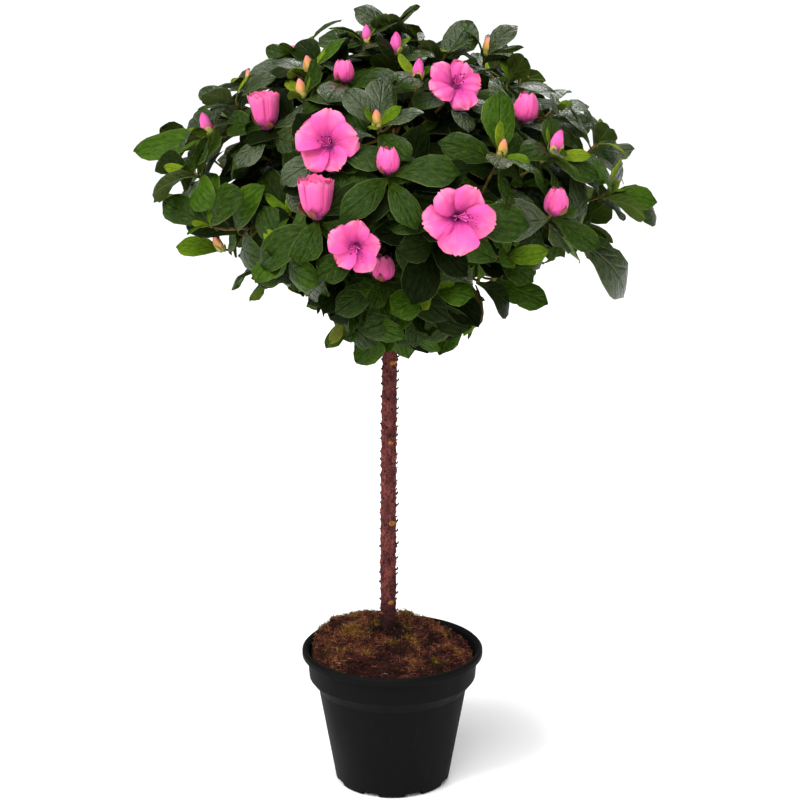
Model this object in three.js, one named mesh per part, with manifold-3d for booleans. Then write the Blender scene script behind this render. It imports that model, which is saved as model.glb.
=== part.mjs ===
// A standard azalea: a round-headed flowering shrub on one clear stem, in a plain nursery pot.
// Millimetres, +Z up. The origin is the middle of the pot's flat underside, and -Y is the front.
import * as THREE from 'three';
import { mergeVertices } from 'three/addons/utils/BufferGeometryUtils.js';
import Module from 'manifold-3d';

const wasm = await Module();
wasm.setup();

const CLEAR = 0.3; // the gap between neighbouring solids
const UP = new THREE.Vector3(0, 0, 1);
const GOLDEN = Math.PI * (3 - Math.sqrt(5)); // the turn from one leaf or shoot to the next

// The pot.
const POT_HEIGHT = 132;
const POT_RIM_R = 85;
const POT_COLLAR_R = 80;
const POT_WAIST_R = 70; // under the collar
const POT_FOOT_R = 54;
const POT_WALL = 1.5;
const LIP_HEIGHT = 8;
const COLLAR_HEIGHT = 20;
const SHOULDER_HEIGHT = 11; // the slope from the collar in to the waist
const POT_DRAFT = 1.5; // how much the collar narrows towards its foot
const POT_SIDES = 30;
const FOOT_NOTCHES = 8;
const NOTCH = { width: 17, depth: 9, height: 4.5 };
const DRAIN_HOLES = 6;
const DRAIN_HOLE_R = 5;
const DRAIN_RING_R = 30;

// The root ball that fills the pot.
const SOIL_EDGE_Z = 126;
const SOIL_MOUND = 13; // how far the middle stands above the edge
const SOIL_TILT = 5; // the back left stands higher than the front right
const SOIL_RINGS = 3;
const SOIL_LUMP = 1.6;

// The stem.
const TRUNK_FOOT = new THREE.Vector3(-4, 18, 139);
const TRUNK_TIP = new THREE.Vector3(1, 8, 566);
const TRUNK_BOW = 3; // how far the stem leaves the straight line
const TRUNK_FOOT_R = 7;
const TRUNK_TIP_R = 5.2;
const TRUNK_TAPER = 2.2; // 1 would be an even taper, and more keeps the stem full up to its fork
const FLARE_R = 9.4; // at the cut
const FLARE_HEIGHT = 16;
const TRUNK_SIDES = 12;
const TRUNK_STEPS = 8; // above the flare
const FLARE_STEPS = 3;

// The crown: its outline, which leaf tips reach.
const CROWN = new THREE.Vector3(2, 5, 560);
const CROWN_R = 232;
const CROWN_ABOVE = 168;
const CROWN_BELOW = 160;
const ROUNDNESS_ABOVE = 1.6; // 2 would be an ellipse and 1 a cone
const ROUNDNESS_BELOW = 1.2;
const OVERREACH = 1.05; // the furthest leaf tips pass the outline by this share

// Bays and gaps in the foliage, as [across, height, radius] at the crown's middle. Each runs straight
// back through the crown, on a line from SEEN_FROM.
const SEEN_FROM = new THREE.Vector3(7, -1800, 840);
const SKY_GAPS = [
  [-166, 502, 20], [-144, 487, 14], [-97, 456, 16], [-64, 437, 10], [81, 482, 10], [95, 452, 13],
  [144, 489, 12], [150, 668, 13], [187, 642, 11], [126, 692, 8], [221, 589, 11], [35, 711, 14],
  [-149, 668, 8], [-114, 678, 7], [-223, 571, 9], [-215, 548, 8], [-5, 515, 7],
];

// The masses of foliage, in rings about the crown's middle. Elevations and turns are in degrees.
const RINGS = [
  { name: 'top', count: 1, elevation: 90, turn: 0, boughZ: [TRUNK_TIP.z] },
  { name: 'upper', count: 4, elevation: 36, turn: -90, boughZ: [541, 533] },
  { name: 'middle', count: 6, elevation: -4, turn: -60, boughZ: [522, 503] },
  { name: 'lower', count: 3, elevation: -48, turn: -90, boughZ: [484] },
];
const MASS_MIDDLE = 0.66; // a mass's middle, as a share of the crown's reach that way
const BOUGH_END = 0.36; // where a bough enters its mass, as such a share
const BOUGH_FOOT_R = 3.9;
const BOUGH_TIP_R = 2.9;
const BOUGH_RISE = 12;
const BOUGH_SIDES = 6;
const BOUGH_STEPS = 3;
const STEM_TIP_R = 1.9;
const TWIG_FOOT_R = 1.9;
const TWIG_NECK_R = 1.5;
const TWIG_TIP_R = 1.9; // swollen where the leaves sit

// The shoots, which each end in a whorl of leaves.
const OUTER_SHOOTS = 98;
const INNER_SHOOTS = 14;
const LOWEST_SHOOT = -0.93; // the sine of the steepest way down that a shoot takes
const SHOOT_DEPTH = [22, 40]; // from the outline in to a shoot's tip
const INNER_DEPTH = 0.62; // a share of the crown's reach
const INNER_SPREAD = 0.12;
const SCATTER = 0.14;
const LEAVES_PER_SHOOT = 6;
const LEAF_LENGTH = [47, 64];
const LEAF_SHORTER_ABOVE = 0.16; // by what share leaves are shorter at the top of the crown
const LEAF_SHORTEST_FROM = 0.6; // the sine of the elevation from which they are that short
const LEAF_WIDTH_SHARE = 0.44;
const LEAF_THICKNESS = 1.6;
const LEAF_WIDEST = 0.57; // how far along its length
const LEAF_ARCH = 0.1;
const LEAF_SPREAD = [84, 52]; // degrees from the shoot's axis, first leaf and last
const LEAF_SPREAD_UNDER_BLOOM = [98, 78];
const LEAF_DROOP = 0.16;
const WHORL_DEPTH = 11; // from the first leaf's root up to the last one's
const WHORL_BELOW_TIP = 1.2;
const WHORL_BELOW_BLOOM = 4;
// A leaf with too little room is tried shorter and closer to its shoot, and a twig from further on.
const LEAF_TRIES = [[1, 1], [0.84, 1], [0.9, 0.7], [0.7, 0.85], [0.7, 0.55]];
const TWIG_TRIES = [0, 0.25, 0.5];

// Places on the front of the crown that a shoot goes to, as [across, height, bloom, size].
const BLOOM_LEVEL = 0.93; // how far out they lie, as a share of the crown's reach
const FRONT_SHOOTS = [
  [-57, 631, 'open', 1.05], [60, 678, 'open', 0.9], [59, 572, 'open', 1.12], [-31, 544, 'open', 0.88],
  [-127, 645, 'half', 1.15], [-46, 684, 'half', 0.82], [-72, 571, 'half', 1.3], [-3, 611, 'half', 0.88],
  [-8, 502, 'half', 0.88], [132, 648, 'half', 1], [153, 566, 'half', 0.95], [-177, 624, 'bud', 1.25],
  [25, 685, 'bud', 1.1], [-78, 685, 'bud', 1], [-24, 711, 'bud', 1], [4, 706, 'bud', 1.2],
  [91, 697, 'bud', 1], [152, 617, 'bud', 1.3], [97, 620, 'bud', 0.9], [-13, 646, 'bud', 0.9],
  [37, 498, 'bud', 0.8], [3, 440, 'none', 1], [106, 525, 'none', 1], [-100, 526, 'none', 1],
  [-172, 546, 'none', 1], [176, 532, 'none', 1], [-190, 592, 'none', 1],
];
const BLOOM_SHARES = { open: 0.14, half: 0.3, bud: 0.55 }; // of the shoots at the back, added up
const FRONT_BUDS = 0.3; // the share of the other front shoots that bear a bud
const BACK_BEGINS = 0.3; // how far back a shoot's direction points before it may flower by lot
const BLOOM_DEPTH = { open: 24, half: 26, bud: 16, none: 22 }; // from the bloom in to the shoot's tip
const BLOOM_SUNK = 1.5;
const BLOOM_LEAN = { open: [1, 0.12], half: [0.1, 1], bud: [0.4, 0.9] }; // outwards and up
const FLOWER = { width: 46, depth: 20, throat: 0.42, cleft: 0.74 };
const HALF_FLOWER = { width: 21, height: 29 };
const BUD = { width: 9, height: 15 };

// Where each kind of random draw starts, so that one kind doesn't change another.
const OUTER_DRAWS = 100;
const INNER_DRAWS = 400;
const TWIG_DRAWS = 300;
const LEAF_DRAWS = 917;
const BLOOM_DRAWS = 5000;

const { clamp, lerp, degToRad, smoothstep } = THREE.MathUtils;
const between = ([low, high], share) => lerp(low, high, share);

// Numbers from 0 to 1 that are the same on every run.
function dice(seed) {
  let state = Math.imul(seed, 2654435761) >>> 0;
  const roll = () => {
    state = (Math.imul(state, 1664525) + 1013904223) >>> 0;
    return state / 2 ** 32;
  };
  roll();
  roll();
  return roll;
}

// A closed geometry as a manifold-3d solid, and back.
function solid(geometry) {
  const bare = geometry.clone();
  bare.deleteAttribute('normal');
  bare.deleteAttribute('uv');
  const merged = mergeVertices(bare, 1e-4);
  return new wasm.Manifold(new wasm.Mesh({
    numProp: 3,
    vertProperties: merged.attributes.position.array,
    triVerts: new Uint32Array(merged.index.array),
  }));
}

function geometryOf(shape) {
  const mesh = shape.getMesh();
  return new THREE.BufferGeometry()
    .setAttribute('position', new THREE.BufferAttribute(Float32Array.from(mesh.vertProperties), 3))
    .setIndex(new THREE.BufferAttribute(Uint32Array.from(mesh.triVerts), 1));
}

const apart = (one, other) => one.intersect(other).isEmpty();

// The largest of a shape's bodies, so that loose scraps are dropped.
function largestBody(shape) {
  return shape.decompose().sort((a, b) => b.volume() - a.volume())[0];
}

function moveVertices(geometry, move) {
  const place = geometry.attributes.position;
  for (let i = 0; i < place.count; i++) {
    place.setXYZ(i, ...move(place.getX(i), place.getY(i), place.getZ(i)));
  }
  return geometry;
}

// A closed tube with a ring at each point, square to the way given there.
function tubeGeometry(points, ways, radii, sides) {
  const steps = points.length - 1;
  const first = Math.abs(ways[0].x) < 0.8 ? new THREE.Vector3(1, 0, 0) : new THREE.Vector3(0, 1, 0);
  const across = [];
  ways.forEach((way, i) => {
    const from = (i ? across[i - 1] : first).clone();
    across.push(from.addScaledVector(way, -from.dot(way)).normalize());
  });
  const rings = new THREE.CylinderGeometry(1, 1, 1, sides, steps);
  return moveVertices(rings, (x, y, z) => {
    const i = Math.round((y + 0.5) * steps);
    const third = across[i].clone().cross(ways[i]);
    return points[i].clone()
      .addScaledVector(across[i], x * radii[i])
      .addScaledVector(third, z * radii[i])
      .toArray();
  });
}

// A tapering tube along a curve.
function limbSolid(curve, [footR, tipR], sides, steps) {
  const shares = Array.from({ length: steps + 1 }, (_, i) => i / steps);
  const ways = shares.map((share) => curve.getTangentAt(share));
  const radii = shares.map((share) => lerp(footR, tipR, share));
  return solid(tubeGeometry(curve.getSpacedPoints(steps), ways, radii, sides));
}

// A lathe about +Z, from [radius, height] pairs that run up the outside.
function latheGeometry(profile, sides) {
  const points = profile.map(([radius, height]) => new THREE.Vector2(radius, height));
  return new THREE.LatheGeometry(points, sides).rotateX(Math.PI / 2);
}

function curveThrough(...points) {
  return new THREE.QuadraticBezierCurve3(...points);
}

function directionOf(elevation, turn) {
  const level = Math.cos(elevation);
  return new THREE.Vector3(level * Math.cos(turn), level * Math.sin(turn), Math.sin(elevation));
}

// The crown's reach from its middle, in one direction.
function crownReach(direction) {
  const above = direction.z > 0;
  const rise = above ? CROWN_ABOVE : CROWN_BELOW;
  const roundness = above ? ROUNDNESS_ABOVE : ROUNDNESS_BELOW;
  const level = Math.hypot(direction.x, direction.y) / CROWN_R;
  return (level ** roundness + (Math.abs(direction.z) / rise) ** roundness) ** (-1 / roundness);
}

function inCrown(direction, share) {
  return CROWN.clone().addScaledVector(direction, crownReach(direction) * share);
}

function insideOutline(point) {
  const offset = point.clone().sub(CROWN);
  const distance = offset.length();
  return distance < crownReach(offset.divideScalar(distance)) * OVERREACH;
}

const gapLines = SKY_GAPS.map(([across, height, radius]) => {
  const way = new THREE.Vector3(across, CROWN.y, height).sub(SEEN_FROM).normalize();
  return { line: new THREE.Ray(SEEN_FROM, way), radius };
});

// Whether a leaf leaves the gaps free, from its middle to its tip.
function clearOfGaps(root, along, length) {
  return [0.5, 0.8, 1].every((share) => {
    const point = root.clone().addScaledVector(along, length * share);
    const room = share < 1 ? length * LEAF_WIDTH_SHARE / 4 : 0;
    return gapLines.every(({ line, radius }) => line.distanceToPoint(point) > radius + room);
  });
}

// The place on the front of the crown that is so far across and so high up.
function onFront(across, height) {
  const rise = height > CROWN.z ? CROWN_ABOVE : CROWN_BELOW;
  const roundness = height > CROWN.z ? ROUNDNESS_ABOVE : ROUNDNESS_BELOW;
  const part = Math.abs(height - CROWN.z) / (rise * BLOOM_LEVEL);
  const level = CROWN_R * BLOOM_LEVEL * Math.max(0, 1 - part ** roundness) ** (1 / roundness);
  const forward = Math.sqrt(Math.max(0, level ** 2 - (across - CROWN.x) ** 2));
  return new THREE.Vector3(across, CROWN.y - forward, height);
}

// A shoot whose tip lies in a direction from the crown's middle. It turns up as it grows.
function shootAt(direction, reach, seed, bloom = 'none', size = 1) {
  const axis = direction.clone().multiplyScalar(0.75).addScaledVector(UP, 0.65).normalize();
  const tip = CROWN.clone().addScaledVector(direction, reach);
  return { tip, axis, direction, seed, bloom, size };
}

// Shoots spread evenly over a shell of the crown.
function shellOfShoots(count, firstSeed, reachOf) {
  const shoots = [];
  for (let i = 0; i < count; i++) {
    const roll = dice(firstSeed + i);
    const height = clamp(1 - 2 * (i + 0.5) / count + (roll() - 0.5) * SCATTER, -1, 1);
    const turn = i * GOLDEN + (roll() - 0.5) * SCATTER * 2;
    if (height < LOWEST_SHOOT) continue;
    const direction = directionOf(Math.asin(height), turn);
    shoots.push(shootAt(direction, reachOf(direction, roll()), firstSeed + i));
  }
  return shoots;
}

function bloomByLot(shoot) {
  const share = dice(shoot.seed + BLOOM_DRAWS)();
  if (shoot.direction.z < -0.6) return 'none';
  if (shoot.direction.y < BACK_BEGINS) return share < FRONT_BUDS ? 'bud' : 'none';
  return Object.keys(BLOOM_SHARES).find((kind) => share < BLOOM_SHARES[kind]) ?? 'none';
}

function allShoots() {
  const outer = shellOfShoots(OUTER_SHOOTS, OUTER_DRAWS, (direction, share) =>
    crownReach(direction) - between(SHOOT_DEPTH, share));
  const free = new Set(outer);
  FRONT_SHOOTS.forEach(([across, height, bloom, size]) => {
    const direction = onFront(across, height).sub(CROWN);
    const reach = direction.length() - BLOOM_DEPTH[bloom] * size;
    direction.normalize();
    const nearness = (shoot) => shoot.direction.dot(direction);
    const nearest = [...free].sort((a, b) => nearness(b) - nearness(a))[0];
    free.delete(nearest);
    Object.assign(nearest, shootAt(direction, reach, nearest.seed, bloom, size));
  });
  free.forEach((shoot) => {
    shoot.bloom = bloomByLot(shoot);
  });
  const inner = shellOfShoots(INNER_SHOOTS, INNER_DRAWS, (direction, share) =>
    crownReach(direction) * (INNER_DEPTH + (share - 0.5) * INNER_SPREAD));
  return [...outer, ...inner];
}

// The masses: each has a middle, and owns what lies nearest to that middle.
function allMasses() {
  return RINGS.flatMap((ring) => Array.from({ length: ring.count }, (_, i) => {
    const direction = directionOf(degToRad(ring.elevation), degToRad(ring.turn + 360 * i / ring.count));
    return {
      name: ring.count === 1 ? ring.name : `${ring.name}_${i + 1}`,
      direction,
      middle: inCrown(direction, MASS_MIDDLE),
      boughEnd: inCrown(direction, BOUGH_END),
      boughZ: ring.boughZ[i % ring.boughZ.length],
    };
  }));
}

function ownedBy(masses, own, point, margin) {
  return masses.every((other) => {
    if (other === own) return true;
    const across = other.middle.clone().sub(own.middle).normalize();
    const half = own.middle.clone().add(other.middle).multiplyScalar(0.5);
    return point.clone().sub(half).dot(across) < -margin;
  });
}

function allOwnedBy(masses, own, geometry) {
  const place = geometry.attributes.position;
  const corner = new THREE.Vector3();
  for (let i = 0; i < place.count; i++) {
    if (!ownedBy(masses, own, corner.fromBufferAttribute(place, i), CLEAR)) return false;
  }
  return true;
}

// The stem, with a flat cut at its foot and its rings closer together in the flare.
function trunkCurve() {
  const middle = TRUNK_FOOT.clone().lerp(TRUNK_TIP, 0.5);
  middle.x -= TRUNK_BOW;
  return curveThrough(TRUNK_FOOT, middle, TRUNK_TIP);
}

function trunkAt(height) {
  return trunkCurve().getPoint(clamp((height - TRUNK_FOOT.z) / (TRUNK_TIP.z - TRUNK_FOOT.z), 0, 1));
}

function trunkSolid(extra = 0) {
  const top = TRUNK_TIP.z - TRUNK_FOOT.z;
  const heights = [];
  for (let i = 0; i < FLARE_STEPS; i++) heights.push(FLARE_HEIGHT * i / FLARE_STEPS);
  for (let i = 0; i <= TRUNK_STEPS; i++) heights.push(lerp(FLARE_HEIGHT, top, i / TRUNK_STEPS));
  const radii = heights.map((height) => {
    const flare = Math.max(0, 1 - height / FLARE_HEIGHT) ** 2 * (FLARE_R - TRUNK_FOOT_R);
    return lerp(TRUNK_FOOT_R, TRUNK_TIP_R, (height / top) ** TRUNK_TAPER) + flare + extra;
  });
  const points = heights.map((height) => trunkAt(TRUNK_FOOT.z + height));
  return solid(tubeGeometry(points, points.map(() => UP), radii, TRUNK_SIDES));
}

// A bough leaves the stem's side, or its tip, and rises in a shallow arc to its mass.
const leavesTrunkTip = (mass) => mass.boughZ === TRUNK_TIP.z;

function boughCurve(mass) {
  const start = trunkAt(mass.boughZ);
  const middle = start.clone().lerp(mass.boughEnd, 0.5);
  if (leavesTrunkTip(mass)) start.z += CLEAR;
  else middle.z += BOUGH_RISE;
  return curveThrough(start, middle, mass.boughEnd);
}

function boughSolid(mass, extra = 0) {
  const footR = leavesTrunkTip(mass) ? TRUNK_TIP_R : BOUGH_FOOT_R;
  return limbSolid(boughCurve(mass), [footR + extra, BOUGH_TIP_R + extra], BOUGH_SIDES, BOUGH_STEPS);
}

// The mass's own stem goes on from its bough's tip.
function stemCurve(mass) {
  const onwards = boughCurve(mass).getTangentAt(1);
  const start = mass.boughEnd.clone().addScaledVector(onwards, CLEAR);
  const tip = inCrown(mass.direction, MASS_MIDDLE + 0.08);
  const middle = start.clone().addScaledVector(onwards, start.distanceTo(tip) * 0.45);
  return curveThrough(start, middle, tip);
}

// A twig leaves its mass's stem on the way past and bends into its shoot's own direction.
function twigGeometry(stem, shoot, later) {
  const foot = stem.getPointAt(0);
  const way = stem.getPointAt(1).sub(foot);
  const length = way.length();
  way.normalize();
  const offset = shoot.tip.clone().sub(foot);
  const along = offset.dot(way);
  const away = offset.addScaledVector(way, -along).length();
  const place = clamp((along - away * 0.7) / length + later, 0.1, 0.9);
  const start = stem.getPointAt(place + 0.08 * dice(shoot.seed + TWIG_DRAWS)());
  const neck = shoot.tip.clone().addScaledVector(shoot.axis, -WHORL_DEPTH - WHORL_BELOW_BLOOM - 2);
  const onwards = neck.clone().sub(start).normalize();
  const ways = [onwards, onwards.clone().add(shoot.axis).normalize(), shoot.axis];
  return tubeGeometry([start, neck, shoot.tip], ways, [TWIG_FOOT_R, TWIG_NECK_R, TWIG_TIP_R], 3);
}

// The solid of the first geometry that stays in the mass's own space and clear of a taken solid.
function firstThatFits(geometries, mass, masses, taken) {
  for (const geometry of geometries) {
    if (!allOwnedBy(masses, mass, geometry)) continue;
    const shape = solid(geometry);
    if (apart(shape, taken)) return [shape];
  }
  return [];
}

// A leaf of six faces along +X, its upper side up +Z and its root at the origin.
function leafGeometry(length) {
  const ringWidth = Math.sin(2 * Math.PI / 3);
  return moveVertices(new THREE.SphereGeometry(1, 3, 2), (x, y, z) => {
    const pole = Math.abs(y) > 0.5;
    const along = pole ? (y + 1) / 2 : LEAF_WIDEST;
    const rib = x < -0.5 ? LEAF_THICKNESS : 0;
    const across = pole ? 0 : -z / ringWidth * length * LEAF_WIDTH_SHARE / 2;
    return [along * length, across, pole ? 0 : LEAF_ARCH * length + rib];
  });
}

// A turn and a place that carry +X to one direction and +Z as near as can be to another.
function frameAt(root, along, upper) {
  const y = upper.clone().cross(along).normalize();
  const z = along.clone().cross(y);
  return new THREE.Matrix4().makeBasis(along, y, z).setPosition(root);
}

// The leaves of a shoot, each as the geometries to try for it, the wanted one first.
function leavesOf(shoot) {
  const roll = dice(shoot.seed + LEAF_DRAWS);
  const upright = Math.abs(shoot.axis.z) > 0.98;
  const side = (upright ? new THREE.Vector3(1, 0, 0) : UP.clone().cross(shoot.axis)).normalize();
  const other = shoot.axis.clone().cross(side).normalize();
  const start = roll() * 2 * Math.PI;
  const flowering = shoot.bloom === 'open' || shoot.bloom === 'half';
  const spreads = flowering ? LEAF_SPREAD_UNDER_BLOOM : LEAF_SPREAD;
  const belowTip = shoot.bloom === 'none' ? WHORL_BELOW_TIP : WHORL_BELOW_BLOOM;
  return Array.from({ length: LEAVES_PER_SHOOT }, (_, i) => {
    const share = i / (LEAVES_PER_SHOOT - 1);
    const turn = start + i * GOLDEN + (roll() - 0.5) * 0.3;
    const spread = between(spreads, share) + (roll() - 0.5) * 14;
    const shorter = LEAF_SHORTER_ABOVE * smoothstep(shoot.direction.z, 0, LEAF_SHORTEST_FROM);
    const length = between(LEAF_LENGTH, roll()) * (1 - shorter);
    const outwards = side.clone().multiplyScalar(Math.cos(turn)).addScaledVector(other, Math.sin(turn));
    const root = shoot.tip.clone().addScaledVector(shoot.axis, -WHORL_DEPTH * (1 - share) - belowTip);
    return LEAF_TRIES.flatMap(([longer, wider]) => {
      const along = shoot.axis.clone().multiplyScalar(Math.cos(degToRad(spread * wider)))
        .addScaledVector(outwards, Math.sin(degToRad(spread * wider)))
        .addScaledVector(UP, -LEAF_DROOP)
        .normalize();
      if (!insideOutline(root.clone().addScaledVector(along, length * longer))) return [];
      if (!clearOfGaps(root, along, length * longer)) return [];
      return [leafGeometry(length * longer).applyMatrix4(frameAt(root, along, shoot.axis))];
    });
  });
}

// A flower as a five-lobed funnel with a hollow throat, its root at the origin and its mouth up +Z.
function flowerGeometry() {
  const { width, depth, throat, cleft } = FLOWER;
  const funnel = new THREE.ConeGeometry(width / 2, depth, 10).rotateX(-Math.PI / 2);
  return moveVertices(funnel.translate(0, 0, depth / 2), (x, y, z) => {
    if (z < 1) return [x, y, z];
    if (Math.hypot(x, y) < 1) return [0, 0, depth * throat];
    const spoke = Math.round(Math.atan2(x, y) / (Math.PI / 5));
    const reach = spoke % 2 ? cleft : 1;
    return [x * reach, y * reach, z];
  });
}

function halfFlowerGeometry() {
  const { width, height } = HALF_FLOWER;
  const rings = [[0, 0], [0.34, 0.12], [0.5, 0.62], [0.43, 1], [0, 0.8]];
  return latheGeometry(rings.map(([out, up]) => [out * width, up * height]), 6);
}

function budGeometry() {
  return latheGeometry([[0, 0], [BUD.width / 2, BUD.height * 0.42], [0, BUD.height]], 5);
}

// The bloom at a shoot's tip, if it bears one.
function bloomGeometries(shoot) {
  if (shoot.bloom === 'none') return [];
  const [out, up] = BLOOM_LEAN[shoot.bloom];
  const axis = shoot.direction.clone().multiplyScalar(out).addScaledVector(UP, up).normalize();
  const root = shoot.tip.clone().addScaledVector(axis, -BLOOM_SUNK);
  const make = { open: flowerGeometry, half: halfFlowerGeometry, bud: budGeometry }[shoot.bloom];
  const turn = new THREE.Quaternion().setFromUnitVectors(UP, axis);
  const size = new THREE.Vector3().setScalar(shoot.size);
  return [make().applyMatrix4(new THREE.Matrix4().compose(root, turn, size))];
}

function massSolid(mass, masses, shoots, fatLimbs) {
  const curve = stemCurve(mass);
  const stem = limbSolid(curve, [BOUGH_TIP_R, STEM_TIP_R], 5, 3);
  const sprays = shoots
    .filter((shoot) => ownedBy(masses, mass, shoot.tip, TWIG_TIP_R + CLEAR))
    .map((shoot) => {
      const twigs = TWIG_TRIES.map((later) => twigGeometry(curve, shoot, later));
      const [twig] = firstThatFits(twigs, mass, masses, fatLimbs);
      const bloom = firstThatFits(bloomGeometries(shoot), mass, masses, fatLimbs);
      return { shoot, twig, bloom, leaves: [] };
    })
    .filter(({ twig }) => twig);
  const grown = (some) => some.flatMap(({ twig, bloom, leaves }) => [twig, ...bloom, ...leaves]);
  for (const spray of sprays) {
    const others = sprays.filter((other) => other !== spray);
    const taken = wasm.Manifold.union([fatLimbs, stem, ...spray.bloom, ...grown(others)]);
    spray.leaves = leavesOf(spray.shoot).flatMap((tries) => firstThatFits(tries, mass, masses, taken));
  }
  return largestBody(wasm.Manifold.union([stem, ...grown(sprays)]));
}

// The pot's outline, as [radius, height] pairs up the outside and down the inside.
function potProfile() {
  const lipZ = POT_HEIGHT - LIP_HEIGHT;
  const collarZ = lipZ - COLLAR_HEIGHT;
  const waistZ = collarZ - SHOULDER_HEIGHT;
  const floorZ = NOTCH.height + 2 * POT_WALL;
  const outside = [
    [0, 0], [POT_FOOT_R - 2, 0], [POT_FOOT_R, 2], [POT_WAIST_R, waistZ], [POT_COLLAR_R - POT_DRAFT, collarZ],
    [POT_COLLAR_R, lipZ], [POT_RIM_R, lipZ + 2], [POT_RIM_R, POT_HEIGHT - 2], [POT_RIM_R - 2, POT_HEIGHT],
  ];
  const inside = [
    [POT_COLLAR_R - POT_WALL, POT_HEIGHT - 3], [POT_COLLAR_R - POT_DRAFT - POT_WALL, collarZ],
    [POT_WAIST_R - POT_WALL, waistZ], [POT_FOOT_R - NOTCH.depth - POT_WALL, floorZ], [0, floorZ],
  ];
  return { outside, inside };
}

function potSolid() {
  const { outside, inside } = potProfile();
  const cuts = [];
  for (let i = 0; i < FOOT_NOTCHES; i++) {
    const box = new THREE.BoxGeometry(NOTCH.depth * 2, NOTCH.width, NOTCH.height * 2);
    cuts.push(solid(box.translate(POT_FOOT_R, 0, 0).rotateZ((i + 0.5) * 2 * Math.PI / FOOT_NOTCHES)));
  }
  for (let i = 0; i < DRAIN_HOLES; i++) {
    const hole = new THREE.CylinderGeometry(DRAIN_HOLE_R, DRAIN_HOLE_R, 40, 8).rotateX(Math.PI / 2);
    cuts.push(solid(hole.translate(DRAIN_RING_R, 0, 0).rotateZ(i * 2 * Math.PI / DRAIN_HOLES)));
  }
  const wall = solid(latheGeometry([...outside, ...inside], POT_SIDES));
  return cuts.reduce((rest, cut) => rest.subtract(cut), wall);
}

function soilHeight(x, y, edgeR) {
  const out = Math.min(1, Math.hypot(x, y) / edgeR);
  const tilt = SOIL_TILT * (y - x) / (edgeR * Math.SQRT2);
  const lump = SOIL_LUMP * Math.sin(x / 13 + 1) * Math.cos(y / 11);
  return SOIL_EDGE_Z + tilt + (SOIL_MOUND + lump) * (1 - out * out);
}

// The root ball fits the pot's inside, and is cut flat where the stem's foot stands on it.
function soilSolid() {
  const { inside } = potProfile();
  const gap = 2 * CLEAR;
  const [rim, collar, waist, floor, middle] = inside;
  const edgeR = collar[0] - gap;
  const top = SOIL_EDGE_Z + SOIL_MOUND + SOIL_TILT;
  const profile = [
    [0, middle[1] + CLEAR], [floor[0] - gap, floor[1] + CLEAR], [waist[0] - gap, waist[1]],
    [edgeR, collar[1] + gap], [lerp(edgeR, rim[0] - gap, 0.4), SOIL_EDGE_Z - SOIL_TILT - 2],
  ];
  for (let i = SOIL_RINGS; i >= 0; i--) profile.push([edgeR * i / SOIL_RINGS, top]);
  const ball = moveVertices(latheGeometry(profile, POT_SIDES), (x, y, z) =>
    [x, y, z > top - 0.1 ? soilHeight(x, y, edgeR) : z]);
  const seatR = FLARE_R + 2;
  const well = new THREE.CylinderGeometry(seatR, seatR, 40, 12).rotateX(Math.PI / 2);
  well.translate(TRUNK_FOOT.x, TRUNK_FOOT.y, TRUNK_FOOT.z + 20 - CLEAR);
  return solid(ball).subtract(solid(well));
}

const plastic = new THREE.MeshStandardMaterial({ color: 0x17181a, roughness: 0.6, metalness: 0 });
const peat = new THREE.MeshStandardMaterial({ color: 0x4a2a1e, roughness: 1, metalness: 0 });
const bark = new THREE.MeshStandardMaterial({ color: 0x5e3430, roughness: 0.85, metalness: 0 });
const foliage = new THREE.MeshStandardMaterial({ color: 0x32522a, roughness: 0.45, metalness: 0 });

const plant = new THREE.Group();

function add(name, shape, material) {
  const mesh = new THREE.Mesh(geometryOf(shape), material);
  mesh.name = name;
  plant.add(mesh);
}

add('pot', potSolid(), plastic);
add('root_ball', soilSolid(), peat);
add('trunk', trunkSolid(), bark);

const masses = allMasses();
const shoots = allShoots();
const fatTrunk = trunkSolid(CLEAR);
const fatLimbs = wasm.Manifold.union([fatTrunk, ...masses.map((mass) => boughSolid(mass, CLEAR))]);

for (const mass of masses) {
  const bough = boughSolid(mass);
  add(`bough_${mass.name}`, leavesTrunkTip(mass) ? bough : bough.subtract(fatTrunk), bark);
}
for (const mass of masses) {
  add(`foliage_${mass.name}`, massSolid(mass, masses, shoots, fatLimbs), foliage);
}

export default plant;
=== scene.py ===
"""A standard azalea: a round-headed flowering shrub on one clear stem, in a plain nursery pot.

The crown grows by the rule of its solids, in millimetres, and is carried on to finer twigs and more
leaves inside the same outline. Meshes are in metres, and -Y is the front.
"""
from math import asin, atan2, cos, exp, hypot, pi, radians, sin, sqrt
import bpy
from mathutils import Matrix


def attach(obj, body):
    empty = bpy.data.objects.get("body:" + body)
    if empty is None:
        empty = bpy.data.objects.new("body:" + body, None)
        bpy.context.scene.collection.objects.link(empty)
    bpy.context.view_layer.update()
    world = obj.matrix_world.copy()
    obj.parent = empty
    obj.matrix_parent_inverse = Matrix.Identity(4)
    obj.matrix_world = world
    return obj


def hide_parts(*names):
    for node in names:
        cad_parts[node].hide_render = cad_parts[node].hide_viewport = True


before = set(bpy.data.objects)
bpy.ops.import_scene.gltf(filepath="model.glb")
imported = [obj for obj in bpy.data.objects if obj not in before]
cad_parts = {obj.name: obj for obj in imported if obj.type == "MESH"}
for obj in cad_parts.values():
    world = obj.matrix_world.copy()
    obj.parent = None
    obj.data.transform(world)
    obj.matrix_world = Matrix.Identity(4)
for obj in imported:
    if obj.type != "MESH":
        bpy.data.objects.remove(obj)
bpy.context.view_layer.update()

from types import SimpleNamespace

import bmesh
import bpy
import numpy as np
from mathutils import Matrix, Vector, noise
from numpy.linalg import norm

MM = 0.001
UP = np.array([0.0, 0.0, 1.0])
GOLDEN = pi * (3 - sqrt(5))  # the turn from one leaf or shoot to the next
CLEAR = 0.3

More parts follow.
